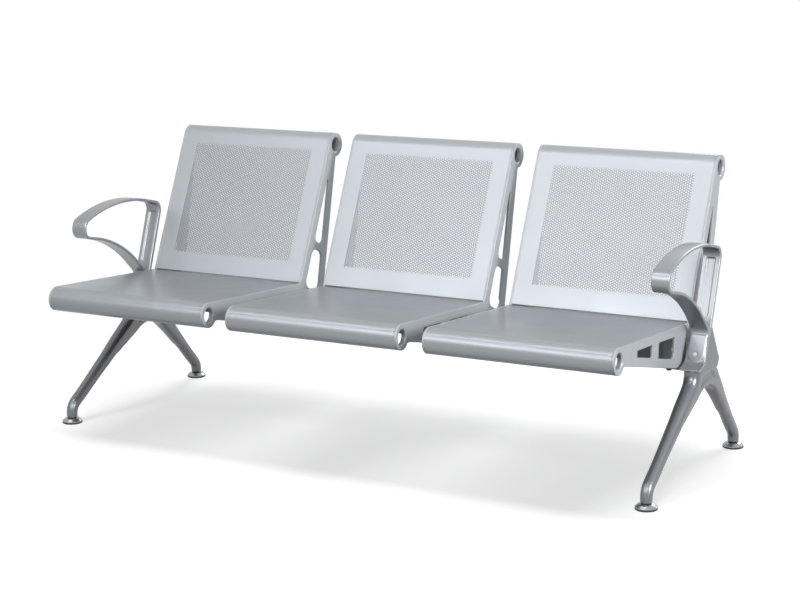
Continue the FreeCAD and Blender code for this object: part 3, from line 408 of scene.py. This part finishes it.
@dataclass
class Perforation:
    """Builds the place of one hole and the nodes that repeat it over a sheet.

    Attributes:
        sizes: Hole pattern.
        thickness: Thickness of the sheet.
    """

    # Face mark of the perforated field, which gets the darker painted-shade paint.
    SHADED_FIELD: ClassVar[str] = "hole_field"
    # Face mark of the hole walls, which get the near black painted-shade paint.
    SHADED_WALL: ClassVar[str] = "hole_wall"
    WELD: ClassVar[float] = 0.00002

    sizes: PerforationSizes
    thickness: float

    def cell_object(self) -> bpy.types.Object:
        """Make one place: both skins round a hole, and the hole's wall, with the skins marked for
        the darker field paint and the wall for the near black wall paint, both painted shade.

        Returns:
            A loose object that holds the mesh.
        """
        across = self.sizes.across / 2.0
        up = self.sizes.up / 2.0
        border = ((across, 0.0), (across, up), (-across, up), (-across, 0.0), (-across, -up),
                  (across, -up))
        count = self.sizes.hole_sides
        rim = [(self.sizes.hole_radius * math.cos(2.0 * math.pi * step / count),
                self.sizes.hole_radius * math.sin(2.0 * math.pi * step / count))
               for step in range(count)]
        patches = ((0, 1, 1, 0), (1, 2, 3, 2, 1), (2, 3, 4, 3), (3, 4, 5, 4), (4, 5, 7, 6, 5),
                   (5, 0, 0, 7))
        shape = bmesh.new()
        skins = []
        for depth in (0.0, self.thickness):
            outer = [shape.verts.new((x, depth, z)) for x, z in border]
            inner = [shape.verts.new((x, depth, z)) for x, z in rim]
            skins.append(inner)
            for first, second, *spokes in patches:
                corners = [outer[first], outer[second], *[inner[spoke] for spoke in spokes]]
                shape.faces.new(corners if depth == 0.0 else list(reversed(corners)))
        # Mark every skin face of the place for the darker field paint, which is painted shade.
        shaded_field_faces = shape.faces.layers.bool.new(self.SHADED_FIELD)
        for skin in shape.faces:
            skin[shaded_field_faces] = True
        # Mark the hole walls for the near black wall paint, which is painted shade.
        wall = shape.faces.layers.bool.new(self.SHADED_WALL)
        for step in range(count):
            ahead = (step + 1) % count
            made = shape.faces.new([skins[0][step], skins[0][ahead], skins[1][ahead],
                                    skins[1][step]])
            made[wall] = True
        mesh = bpy.data.meshes.new("hole_place")
        shape.to_mesh(mesh)
        shape.free()
        return bpy.data.objects.new("hole_place", mesh)

    def _stagger(self, made: bpy.types.NodeTree, given: bpy.types.Node) -> bpy.types.Node:
        """Nodes that lift every other column of the grid by half a step.

        Args:
            made: Tree to add to.
            given: Its input node.

        Returns:
            The node that holds the offset.
        """
        index = add_node(made, "GeometryNodeInputIndex")
        column = add_node(made, "ShaderNodeMath", operation="DIVIDE")
        whole = add_node(made, "ShaderNodeMath", operation="FLOOR")
        odd = add_node(made, "ShaderNodeMath", {1: 2.0}, operation="MODULO")
        lift = add_node(made, "ShaderNodeMath", operation="MULTIPLY")
        offset = add_node(made, "ShaderNodeCombineXYZ")
        join(made,
             (index, "Index", column, 0), (given, "Rows", column, 1), (column, 0, whole, 0),
             (whole, 0, odd, 0), (odd, 0, lift, 0), (given, "Stagger", lift, 1),
             (lift, 0, offset, "Y"))
        return offset

    def tree(self) -> bpy.types.NodeTree:
        """Build the nodes that lay out the holes in a sheet's window, weld them in and give the
        marked field and walls their painted-shade paints.

        Returns:
            The node tree.
        """
        made = bpy.data.node_groups.new("perforated_sheet", "GeometryNodeTree")
        face = made.interface
        for name, kind in (("Geometry", "Geometry"), ("Hole place", "Object"),
                           ("Columns", "Int"), ("Rows", "Int"), ("Width", "Float"),
                           ("Height", "Float"), ("Stagger", "Float"), ("Middle", "Vector"),
                           ("Paint", "Material"), ("Field paint", "Material"),
                           ("Wall paint", "Material")):
            face.new_socket(name, in_out="INPUT", socket_type=f"NodeSocket{kind}")
        face.new_socket("Geometry", in_out="OUTPUT", socket_type="NodeSocketGeometry")
        given = add_node(made, "NodeGroupInput")
        grid = add_node(made, "GeometryNodeMeshGrid")
        shifted = add_node(made, "GeometryNodeSetPosition")
        upright = add_node(made, "GeometryNodeTransform", {"Rotation": (math.pi / 2.0, 0.0, 0.0)})
        cell = add_node(made, "GeometryNodeObjectInfo")
        spread = add_node(made, "GeometryNodeInstanceOnPoints")
        real = add_node(made, "GeometryNodeRealizeInstances")
        both = add_node(made, "GeometryNodeJoinGeometry")
        weld = add_node(made, "GeometryNodeMergeByDistance", {"Distance": self.WELD})
        painted = add_node(made, "GeometryNodeSetMaterial")
        join(made,
             (given, "Width", grid, "Size X"), (given, "Height", grid, "Size Y"),
             (given, "Columns", grid, "Vertices X"), (given, "Rows", grid, "Vertices Y"),
             (grid, "Mesh", shifted, "Geometry"),
             (self._stagger(made, given), "Vector", shifted, "Offset"),
             (shifted, "Geometry", upright, "Geometry"), (given, "Middle", upright, "Translation"),
             (given, "Hole place", cell, "Object"), (upright, "Geometry", spread, "Points"),
             (cell, "Geometry", spread, "Instance"), (spread, "Instances", real, "Geometry"),
             (given, "Geometry", both, "Geometry"), (real, "Geometry", both, "Geometry"),
             (both, "Geometry", weld, "Geometry"), (weld, "Geometry", painted, "Geometry"),
             (given, "Paint", painted, "Material"))
        # Painted shade: the field between the holes gets a darker paint, the hole walls a near
        # black one.
        for zone, paint in ((self.SHADED_FIELD, "Field paint"), (self.SHADED_WALL, "Wall paint")):
            marked = add_node(made, "GeometryNodeInputNamedAttribute", {"Name": zone},
                              data_type="BOOLEAN")
            other = add_node(made, "GeometryNodeSetMaterial")
            join(made,
                 (painted, "Geometry", other, "Geometry"),
                 (marked, "Attribute", other, "Selection"), (given, paint, other, "Material"))
            painted = other
        join(made, (painted, "Geometry", add_node(made, "NodeGroupOutput"), "Geometry"))
        return made

    def apply(self, mesh: bpy.types.Mesh, finishes: Finishes) -> bpy.types.Mesh:
        """Fill the window of a sheet with the hole pattern.

        Args:
            mesh: Sheet with an open window, lying in its own upright plane.
            finishes: The bench's finishes.

        Returns:
            One closed mesh.
        """
        holder = bpy.data.objects.new("sheet_with_window", mesh)
        bpy.context.scene.collection.objects.link(holder)
        cell = self.cell_object()
        bpy.context.scene.collection.objects.link(cell)
        tree = self.tree()
        modifier = holder.modifiers.new("perforation", "NODES")
        modifier.node_group = tree
        sizes = self.sizes
        values = {
            "Hole place": cell,
            "Columns": sizes.columns,
            "Rows": sizes.rows,
            "Width": (sizes.columns - 1) * sizes.across,
            "Height": (sizes.rows - 1) * sizes.up,
            "Stagger": sizes.up / 2.0,
            "Middle": (0.0, 0.0, sizes.start + sizes.rows * sizes.up / 2.0),
            "Paint": finishes.back,
            # Painted shade: the field between the holes is darker than the back's paint.
            "Field paint": finishes.holes,
            # Painted shade: near black hole walls.
            "Wall paint": finishes.hole_wall,
        }
        for item in tree.interface.items_tree:
            if item.in_out == "INPUT" and item.name in values:
                modifier[item.identifier] = values[item.name]
        bpy.context.view_layer.update()
        graph = bpy.context.evaluated_depsgraph_get()
        result = bpy.data.meshes.new_from_object(holder.evaluated_get(graph))
        holder.modifiers.remove(modifier)
        bpy.data.objects.remove(holder)
        bpy.data.objects.remove(cell)
        return result


@dataclass
class RolledSheet:
    """One seat or back sheet: a flat with a roll at one end and a hem at the other.

    Attributes:
        kind: Seat or back.
        place: Its place, counted from the left.
        sizes: Sizes of the sheets.
        holes: Hole pattern of the backs.
        arc_steps: Steps round the roll.
        bend_steps: Steps round the hem's bend.
        sharp_angle: Least angle of an edge that looks sharp, in degrees.
    """

    kind: Kind
    place: int
    sizes: SheetSizes
    holes: PerforationSizes
    arc_steps: int = 44
    bend_steps: int = 6
    sharp_angle: float = 50.0

    def build(self, finishes: Finishes) -> bpy.types.Object:
        """Make the sheet and put it in place of its CAD node.

        Args:
            finishes: The bench's finishes.

        Returns:
            The finished piece.
        """
        name = f"{self.kind.value}_sheet_{self.place}"
        mesh = self._mesh(name)
        if self.kind is Kind.BACK:
            mesh = Perforation(self.holes, self.sizes.thickness).apply(mesh, finishes)
        else:
            mesh.materials.append(finishes.seat)
        mesh.transform(self._into_frame())
        shape = bmesh.new()
        shape.from_mesh(mesh)
        bmesh.ops.recalc_face_normals(shape, faces=shape.faces)
        shape.to_mesh(mesh)
        shape.free()
        smooth_by_angle(mesh, self.sharp_angle)
        return finish_piece(name, mesh, (f"{self.kind.value}_panel_{self.place}",))

    def _into_frame(self) -> Matrix:
        """Work out how the sheet lies in the part's frame.

        Returns:
            Matrix from the sheet's own axes to the frame.
        """
        across = Matrix.Translation(((self.place - MIDDLE_PLACE) * self.sizes.pitch, 0.0, 0.0))
        if self.kind is Kind.SEAT:
            lean = Matrix.Rotation(-math.radians(self.sizes.tilt), 4, "X")
            spot = Vector((0.0, self.sizes.roll_y, self.sizes.roll_height))
        else:
            lean = Matrix.Rotation(-math.radians(self.sizes.recline), 4, "X")
            spot = self.sizes.corner()
        return across @ Matrix.Translation(spot) @ lean

    def _flat_length(self) -> float:
        """Work out how long the flat is.

        Returns:
            Distance from the roll's middle to the hem's outer face.
        """
        sizes = self.sizes
        if self.kind is Kind.SEAT:
            return sizes.seat_length - sizes.gap
        return sizes.back_length - sizes.thickness - sizes.gap

    def _own_axes(self, along: float, out: float) -> tuple[float, float]:
        """Turn a profile point into the sheet's own axes.

        Args:
            along: Distance along the flat from the roll's middle.
            out: Distance out of the flat from the roll's middle.

        Returns:
            Its depth and its height.
        """
        if self.kind is Kind.SEAT:
            return along, out
        return self.sizes.roll_radius - out, self.sizes.back_length - along

    def _rows(self) -> list[float]:
        """List where the profile has points for the hole pattern.

        Returns:
            Distances along the flat, from the roll on.
        """
        if self.kind is Kind.SEAT:
            return []
        return [self.sizes.back_length - height for height in reversed(self.holes.half_steps())]

    def _profile(self) -> list[tuple[float, float]]:
        """Draw the closed outline of the bent sheet.

        Returns:
            Its points, as distances along the flat and out of it.
        """
        sizes = self.sizes
        length = self._flat_length()
        inner = sizes.roll_radius - sizes.thickness
        low = inner - sizes.hem
        rows = self._rows()
        bend = [math.pi / 2.0 * step / self.bend_steps for step in range(self.bend_steps + 1)]
        outer_bend = [(length - sizes.hem_round + sizes.hem_round * math.cos(angle),
                       sizes.roll_radius - sizes.hem_round + sizes.hem_round * math.sin(angle))
                      for angle in bend]
        tight = sizes.hem_round - sizes.thickness
        inner_bend = [(length - sizes.hem_round + tight * math.cos(angle),
                       sizes.roll_radius - sizes.hem_round + tight * math.sin(angle))
                      for angle in reversed(bend)]
        arc = [math.radians(sizes.wrap * step / self.arc_steps)
               for step in range(self.arc_steps + 1)]
        outline = [(length, low), *outer_bend]
        outline += [(along, sizes.roll_radius) for along in reversed(rows)]
        outline += [(-sizes.roll_radius * math.sin(angle), sizes.roll_radius * math.cos(angle))
                    for angle in arc]
        outline += [(-inner * math.sin(angle), inner * math.cos(angle))
                    for angle in reversed(arc)]
        outline += [(along, inner) for along in rows]
        outline += [*inner_bend, (length - sizes.thickness, low)]
        return outline

    def _mesh(self, name: str) -> bpy.types.Mesh:
        """Run the profile across the sheet, leaving the hole pattern's window open.

        Args:
            name: Name of the mesh.

        Returns:
            The mesh, in the sheet's own axes.
        """
        half_width = self.sizes.width / 2.0
        stations = [-half_width, half_width]
        if self.kind is Kind.BACK:
            edge = self.holes.half_width()
            stations[1:1] = [self.holes.across * index - edge
                             for index in range(self.holes.columns + 1)]
        outline = self._profile()
        shape = bmesh.new()
        rings = [[shape.verts.new((x, *self._own_axes(along, out))) for along, out in outline]
                 for x in stations]
        count = len(outline)
        for index in range(len(stations) - 1):
            middle = (stations[index] + stations[index + 1]) / 2.0
            for step in range(count):
                ahead = (step + 1) % count
                if self._is_open(middle, outline[step], outline[ahead]):
                    continue
                shape.faces.new([rings[index][step], rings[index][ahead],
                                 rings[index + 1][ahead], rings[index + 1][step]])
        shape.faces.new(rings[0])
        shape.faces.new(list(reversed(rings[-1])))
        mesh = bpy.data.meshes.new(name)
        shape.to_mesh(mesh)
        shape.free()
        return mesh

    def _is_open(self, x: float, first: tuple[float, float],
                 second: tuple[float, float]) -> bool:
        """Tell whether a step of the profile is left out for the hole pattern.

        Args:
            x: Place across the sheet.
            first: Profile point at which the step starts.
            second: Profile point at which it ends.

        Returns:
            True if the pattern covers the step there.
        """
        if self.kind is Kind.SEAT:
            return False
        level = abs(first[1] - second[1]) < self.sizes.thickness / 10.0
        flat = first[1] > self.sizes.roll_radius - 2.0 * self.sizes.thickness
        height = self.sizes.back_length - (first[0] + second[0]) / 2.0
        return level and flat and self.holes.holds(x, height)


@dataclass
class Casting:
    """A cast piece whose edges and joints are softened as the mould leaves them.

    Attributes:
        node: CAD node it stands for.
        voxel: Size of the new surface's faces in metres.
        rounds: Smoothing steps.
        band_rounds: More steps for a band of heights, where a rib runs out.
        band_middle: Height of the band's middle in metres.
        band_half: Half the band's height in metres.
    """

    WELD: ClassVar[float] = 1e-6
    SOFTENING: ClassVar[float] = 0.5

    node: str
    voxel: float
    rounds: int
    band_rounds: int = 0
    band_middle: float = 0.0
    band_half: float = 1.0

    def build(self, paint: bpy.types.Material) -> bpy.types.Object:
        """Copy the node, weld it, renew its surface and soften it.

        Args:
            paint: Its material.

        Returns:
            The finished piece.
        """
        source = bpy.data.objects[self.node]
        shape = bmesh.new()
        shape.from_mesh(source.data)
        bmesh.ops.remove_doubles(shape, verts=shape.verts, dist=self.WELD)
        welded = bpy.data.meshes.new(f"{self.node}_welded")
        shape.to_mesh(welded)
        shape.free()
        holder = bpy.data.objects.new(f"{self.node}_holder", welded)
        bpy.context.scene.collection.objects.link(holder)
        renew = holder.modifiers.new("surface", "REMESH")
        renew.mode = "VOXEL"
        renew.voxel_size = self.voxel
        soften = holder.modifiers.new("soften", "SMOOTH")
        soften.factor = self.SOFTENING
        soften.iterations = self.rounds
        bpy.context.view_layer.update()
        graph = bpy.context.evaluated_depsgraph_get()
        mesh = bpy.data.meshes.new_from_object(holder.evaluated_get(graph))
        bpy.data.objects.remove(holder)
        self._ease_band(mesh)
        mesh.polygons.foreach_set("use_smooth", [True] * len(mesh.polygons))
        mesh.materials.clear()
        mesh.materials.append(paint)
        return finish_piece(f"{self.node}_cast", mesh, (self.node,))

    def _ease_band(self, mesh: bpy.types.Mesh) -> None:
        """Smooth the band of heights further, most of all in its middle.

        Args:
            mesh: The softened surface.
        """
        count = len(mesh.vertices)
        spots = np.empty(3 * count, dtype=np.float32)
        mesh.vertices.foreach_get("co", spots)
        spots = spots.reshape(count, 3).astype(float)
        ends = np.empty(2 * len(mesh.edges), dtype=np.int32)
        mesh.edges.foreach_get("vertices", ends)
        first, second = ends.reshape(-1, 2).T
        neighbours = np.maximum(np.bincount(ends, minlength=count), 1)[:, None]
        nearness = 1.0 - np.abs(spots[:, 2] - self.band_middle) / self.band_half
        pull = np.clip(nearness, 0.0, self.SOFTENING)[:, None]
        for _ in range(self.band_rounds):
            total = np.stack([np.bincount(first, spots[second, axis], count)
                              + np.bincount(second, spots[first, axis], count)
                              for axis in range(3)], axis=1)
            spots += pull * (total / neighbours - spots)
        mesh.vertices.foreach_set("co", spots.astype(np.float32).ravel())
        mesh.update()


@dataclass(frozen=True)
class SoftLamp:
    """One rectangular lamp of the studio.

    Attributes:
        name: Name of the lamp.
        spot: Its place.
        aim: Point it faces.
        size: Its width and height in metres.
        power: Its power in watts.
        on_floor: Whether it lights the floor alone, or all but the floor.
    """

    name: str
    spot: Triple
    aim: Triple
    size: tuple[float, float]
    power: float
    on_floor: bool = False

    def hang(self, floor: bpy.types.Object) -> None:
        """Add the lamp to the scene.

        Args:
            floor: Floor of the studio.
        """
        lamp = bpy.data.lights.new(self.name, "AREA")
        lamp.shape = "RECTANGLE"
        lamp.size, lamp.size_y = self.size
        lamp.energy = self.power
        held = bpy.data.objects.new(self.name, lamp)
        held.location = self.spot
        line = Vector(self.aim) - Vector(self.spot)
        held.rotation_euler = line.to_track_quat("-Z", "Y").to_euler()
        lit = bpy.data.collections.new(f"{self.name}_lights")
        lit.objects.link(floor)
        state = "INCLUDE" if self.on_floor else "EXCLUDE"
        lit.collection_objects[0].light_linking.link_state = state
        held.light_linking.receiver_collection = lit
        bpy.context.scene.collection.objects.link(held)


@dataclass
class Studio:
    """Floor, background, lamps and the camera at the photograph's angle.

    Attributes:
        target: Point the camera looks at, in metres.
        azimuth: Degrees round the bench from its front towards its right end.
        elevation: Degrees above the horizon.
        roll: Degrees the camera is turned about its line of sight.
        distance: Metres from the target.
        focal_pixels: Focal length in pixels of the photograph.
        floor_colour: Paleness of the floor where it is seen.
        floor_bounce: Paleness of the floor where it lights the bench.
        floor_glow: Strength that whitens the floor where it is seen.
        floor_reach: Half the floor's width in metres.
        white_from: Distance from the middle at which the floor starts to turn plain white.
        white_by: Distance at which it is plain white.
        sky: Strength of the light from all round.
        lamps: The studio's lamps.
    """

    target: Triple = (0.0273, 0.0485, 0.3901)
    azimuth: float = 29.39
    elevation: float = 11.61
    roll: float = -0.63
    distance: float = 5.3526
    focal_pixels: float = 1945.64
    floor_colour: float = 0.75
    floor_bounce: float = 0.05
    floor_glow: float = 0.66
    floor_reach: float = 60.0
    white_from: float = 1.0
    white_by: float = 2.2
    sky: float = 0.12
    lamps: tuple[SoftLamp, ...] = (
        SoftLamp("front_left", (-1.2, -3.3, 2.3), (0.0, 0.0, 0.5), (2.4, 1.4), 52.0),
        SoftLamp("front_right", (1.3, -3.3, 2.3), (0.0, 0.0, 0.5), (1.8, 1.4), 64.0),
        SoftLamp("right", (4.4, -1.1, 2.0), (0.2, 0.0, 0.5), (1.8, 1.6), 190.0),
        SoftLamp("overhead", (-0.3, -1.1, 2.3), (-0.3, -0.3, 0.4), (3.0, 0.2), 18.0),
        SoftLamp("rear", (0.8, 3.5, 2.3), (0.0, 0.2, 0.5), (2.6, 1.2), 95.0),
        SoftLamp("ceiling", (0.0, 0.0, 3.0), (0.0, 0.0, 0.0), (3.6, 1.3), 95.0, True),
    )

    def build(self) -> None:
        """Set up everything around the bench."""
        self._camera()
        floor = self._floor()
        self._world()
        for lamp in self.lamps:
            lamp.hang(floor)
        bpy.context.scene.view_settings.view_transform = "Standard"

    def _camera(self) -> None:
        """Place the camera."""
        turn = math.radians(self.azimuth)
        rise = math.radians(self.elevation)
        back = Vector((math.sin(turn) * math.cos(rise), -math.cos(turn) * math.cos(rise),
                       math.sin(rise)))
        right = Vector((math.cos(turn), math.sin(turn), 0.0))
        up = back.cross(right)
        tip = math.radians(self.roll)
        tipped_right = right * math.cos(tip) + up * math.sin(tip)
        tipped_up = up * math.cos(tip) - right * math.sin(tip)
        spot = Vector(self.target) + back * self.distance
        lens = bpy.data.cameras.new("camera")
        lens.sensor_fit = "HORIZONTAL"
        lens.sensor_width = SENSOR_WIDTH
        lens.lens = self.focal_pixels / PHOTO_WIDTH * SENSOR_WIDTH
        camera = bpy.data.objects.new("camera", lens)
        basis = Matrix((tipped_right, tipped_up, back)).transposed().to_4x4()
        camera.matrix_world = Matrix.Translation(spot) @ basis
        bpy.context.scene.collection.objects.link(camera)
        bpy.context.scene.camera = camera

    def _white_rays(self, tree: bpy.types.NodeTree) -> bpy.types.NodeSocket:
        """Nodes that tell the rays which see the background as plain white.

        Args:
            tree: Tree to add to.

        Returns:
            Socket that is 1 for camera, glossy and transmission rays, and 0 for the others.
        """
        rays = add_node(tree, "ShaderNodeLightPath")
        seen = rays.outputs["Is Camera Ray"]
        for name in ("Is Glossy Ray", "Is Transmission Ray"):
            either = add_node(tree, "ShaderNodeMath", operation="MAXIMUM")
            tree.links.new(seen, either.inputs[0])
            tree.links.new(rays.outputs[name], either.inputs[1])
            seen = either.outputs[0]
        return seen

    def _floor_paper(self) -> bpy.types.Material:
        """Build the floor's material: white where it is seen, dim where it lights the bench.

        Returns:
            The finished material.
        """
        made = bpy.data.materials.new("floor_paper")
        made.use_nodes = True
        tree = made.node_tree
        tree.nodes.clear()
        paper = add_node(tree, "ShaderNodeBsdfDiffuse", {"Color": toned(WHITE, self.floor_colour)})
        dim = add_node(tree, "ShaderNodeBsdfDiffuse", {"Color": toned(WHITE, self.floor_bounce)})
        place = add_node(tree, "ShaderNodeTexCoord")
        away = add_node(tree, "ShaderNodeVectorMath", operation="LENGTH")
        level = add_node(tree, "ShaderNodeMapRange", {
            "From Min": self.white_from, "From Max": self.white_by},
            interpolation_type="SMOOTHSTEP")
        glow = add_node(tree, "ShaderNodeEmission", {"Strength": self.floor_glow})
        far = add_node(tree, "ShaderNodeEmission", {"Strength": 1.0})
        near = add_node(tree, "ShaderNodeAddShader")
        seen = add_node(tree, "ShaderNodeMixShader")
        choose = add_node(tree, "ShaderNodeMixShader")
        result = add_node(tree, "ShaderNodeOutputMaterial")
        join(tree,
             (place, "Object", away, 0), (away, "Value", level, "Value"),
             (paper, "BSDF", near, 0), (glow, "Emission", near, 1),
             (level, "Result", seen, "Fac"), (near, "Shader", seen, 1),
             (far, "Emission", seen, 2), (dim, "BSDF", choose, 1),
             (seen, "Shader", choose, 2), (choose, "Shader", result, "Surface"))
        tree.links.new(self._white_rays(tree), choose.inputs["Fac"])
        return made

    def _floor(self) -> bpy.types.Object:
        """Lay a pale floor that looks white but keeps the bench's soft shadow.

        Returns:
            The floor.
        """
        reach = self.floor_reach
        mesh = bpy.data.meshes.new("floor")
        mesh.from_pydata([(-reach, -reach, 0.0), (reach, -reach, 0.0), (reach, reach, 0.0),
                          (-reach, reach, 0.0)], [], [(0, 1, 2, 3)])
        mesh.materials.append(self._floor_paper())
        floor = bpy.data.objects.new("floor", mesh)
        bpy.context.scene.collection.objects.link(floor)
        return floor

    def _world(self) -> None:
        """Light the bench softly from all round, in front of a white background."""
        world = bpy.data.worlds.new("studio")
        bpy.context.scene.world = world
        world.use_nodes = True
        tree = world.node_tree
        tree.nodes.clear()
        light = add_node(tree, "ShaderNodeBackground", {
            "Color": toned(WHITE, 1.0), "Strength": self.sky})
        white = add_node(tree, "ShaderNodeBackground", {
            "Color": toned(WHITE, 1.0), "Strength": 1.0})
        choose = add_node(tree, "ShaderNodeMixShader")
        result = add_node(tree, "ShaderNodeOutputWorld")
        join(tree,
             (light, "Background", choose, 1), (white, "Background", choose, 2),
             (choose, "Shader", result, "Surface"))
        tree.links.new(self._white_rays(tree), choose.inputs["Fac"])


@dataclass
class Bench:
    """The whole bench: which node gets which finish, and which gets a finer shape.

    Attributes:
        finishes: Its finishes.
        sheet: Sizes of the rolled sheets.
        holes: Hole pattern of the backs.
    """

    finishes: Finishes
    sheet: SheetSizes = field(default_factory=SheetSizes)
    holes: PerforationSizes = field(default_factory=PerforationSizes)

    def build(self) -> None:
        """Dress every node and add the finer pieces."""
        self.dress()
        for place in PLACES:
            for kind in Kind:
                self._report(RolledSheet(kind, place, self.sheet, self.holes).build(self.finishes))
        for side in SIDES:
            leg = Casting(f"leg_{side}", voxel=0.0016, rounds=14, band_rounds=130,
                          band_middle=0.138, band_half=0.07)
            self._report(leg.build(self.finishes.leg))
            armrest = Casting(f"armrest_{side}", voxel=0.00126, rounds=7)
            self._report(armrest.build(self.finishes.armrest))

    def _report(self, made: bpy.types.Object) -> None:
        """Log a finished piece."""
        LOG.info("%s: %d faces", made.name, len(made.data.polygons))

    def dress(self) -> None:
        """Give every CAD node its finish."""
        paints = (
            ("seat_panel", self.finishes.seat),
            ("back_panel", self.finishes.back),
            ("seat_rail", self.finishes.rail),
            ("back_rail", self.finishes.rail),
            ("clamp_plates", self.finishes.rail),
            ("clamp_bolts", self.finishes.black),
            ("joint_bolts", self.finishes.steel),
            ("seat_screws", self.finishes.steel),
            ("back_screws", self.finishes.steel),
            ("leg_bolts", self.finishes.steel),
            ("leg", self.finishes.leg),
            ("armrest_screw", self.finishes.steel),
            ("armrest", self.finishes.armrest),
            ("glide_pad", self.finishes.rubber),
            ("glide", self.finishes.plated),
            ("beam", self.finishes.beam),
        )
        for name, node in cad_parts.items():
            paint = next(paint for start, paint in paints if name.startswith(start))
            node.data.materials.clear()
            node.data.materials.append(paint)


def main() -> None:
    """Build the bench's looks and the studio."""
    logging.basicConfig(level=logging.INFO)
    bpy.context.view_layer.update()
    Bench(Finishes()).build()
    Studio().build()


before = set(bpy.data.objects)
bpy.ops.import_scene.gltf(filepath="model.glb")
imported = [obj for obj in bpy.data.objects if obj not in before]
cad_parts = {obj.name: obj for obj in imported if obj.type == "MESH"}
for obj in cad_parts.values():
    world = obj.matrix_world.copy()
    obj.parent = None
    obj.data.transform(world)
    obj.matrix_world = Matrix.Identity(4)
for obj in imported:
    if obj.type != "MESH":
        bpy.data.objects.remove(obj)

if __name__ == "__main__":
    main()
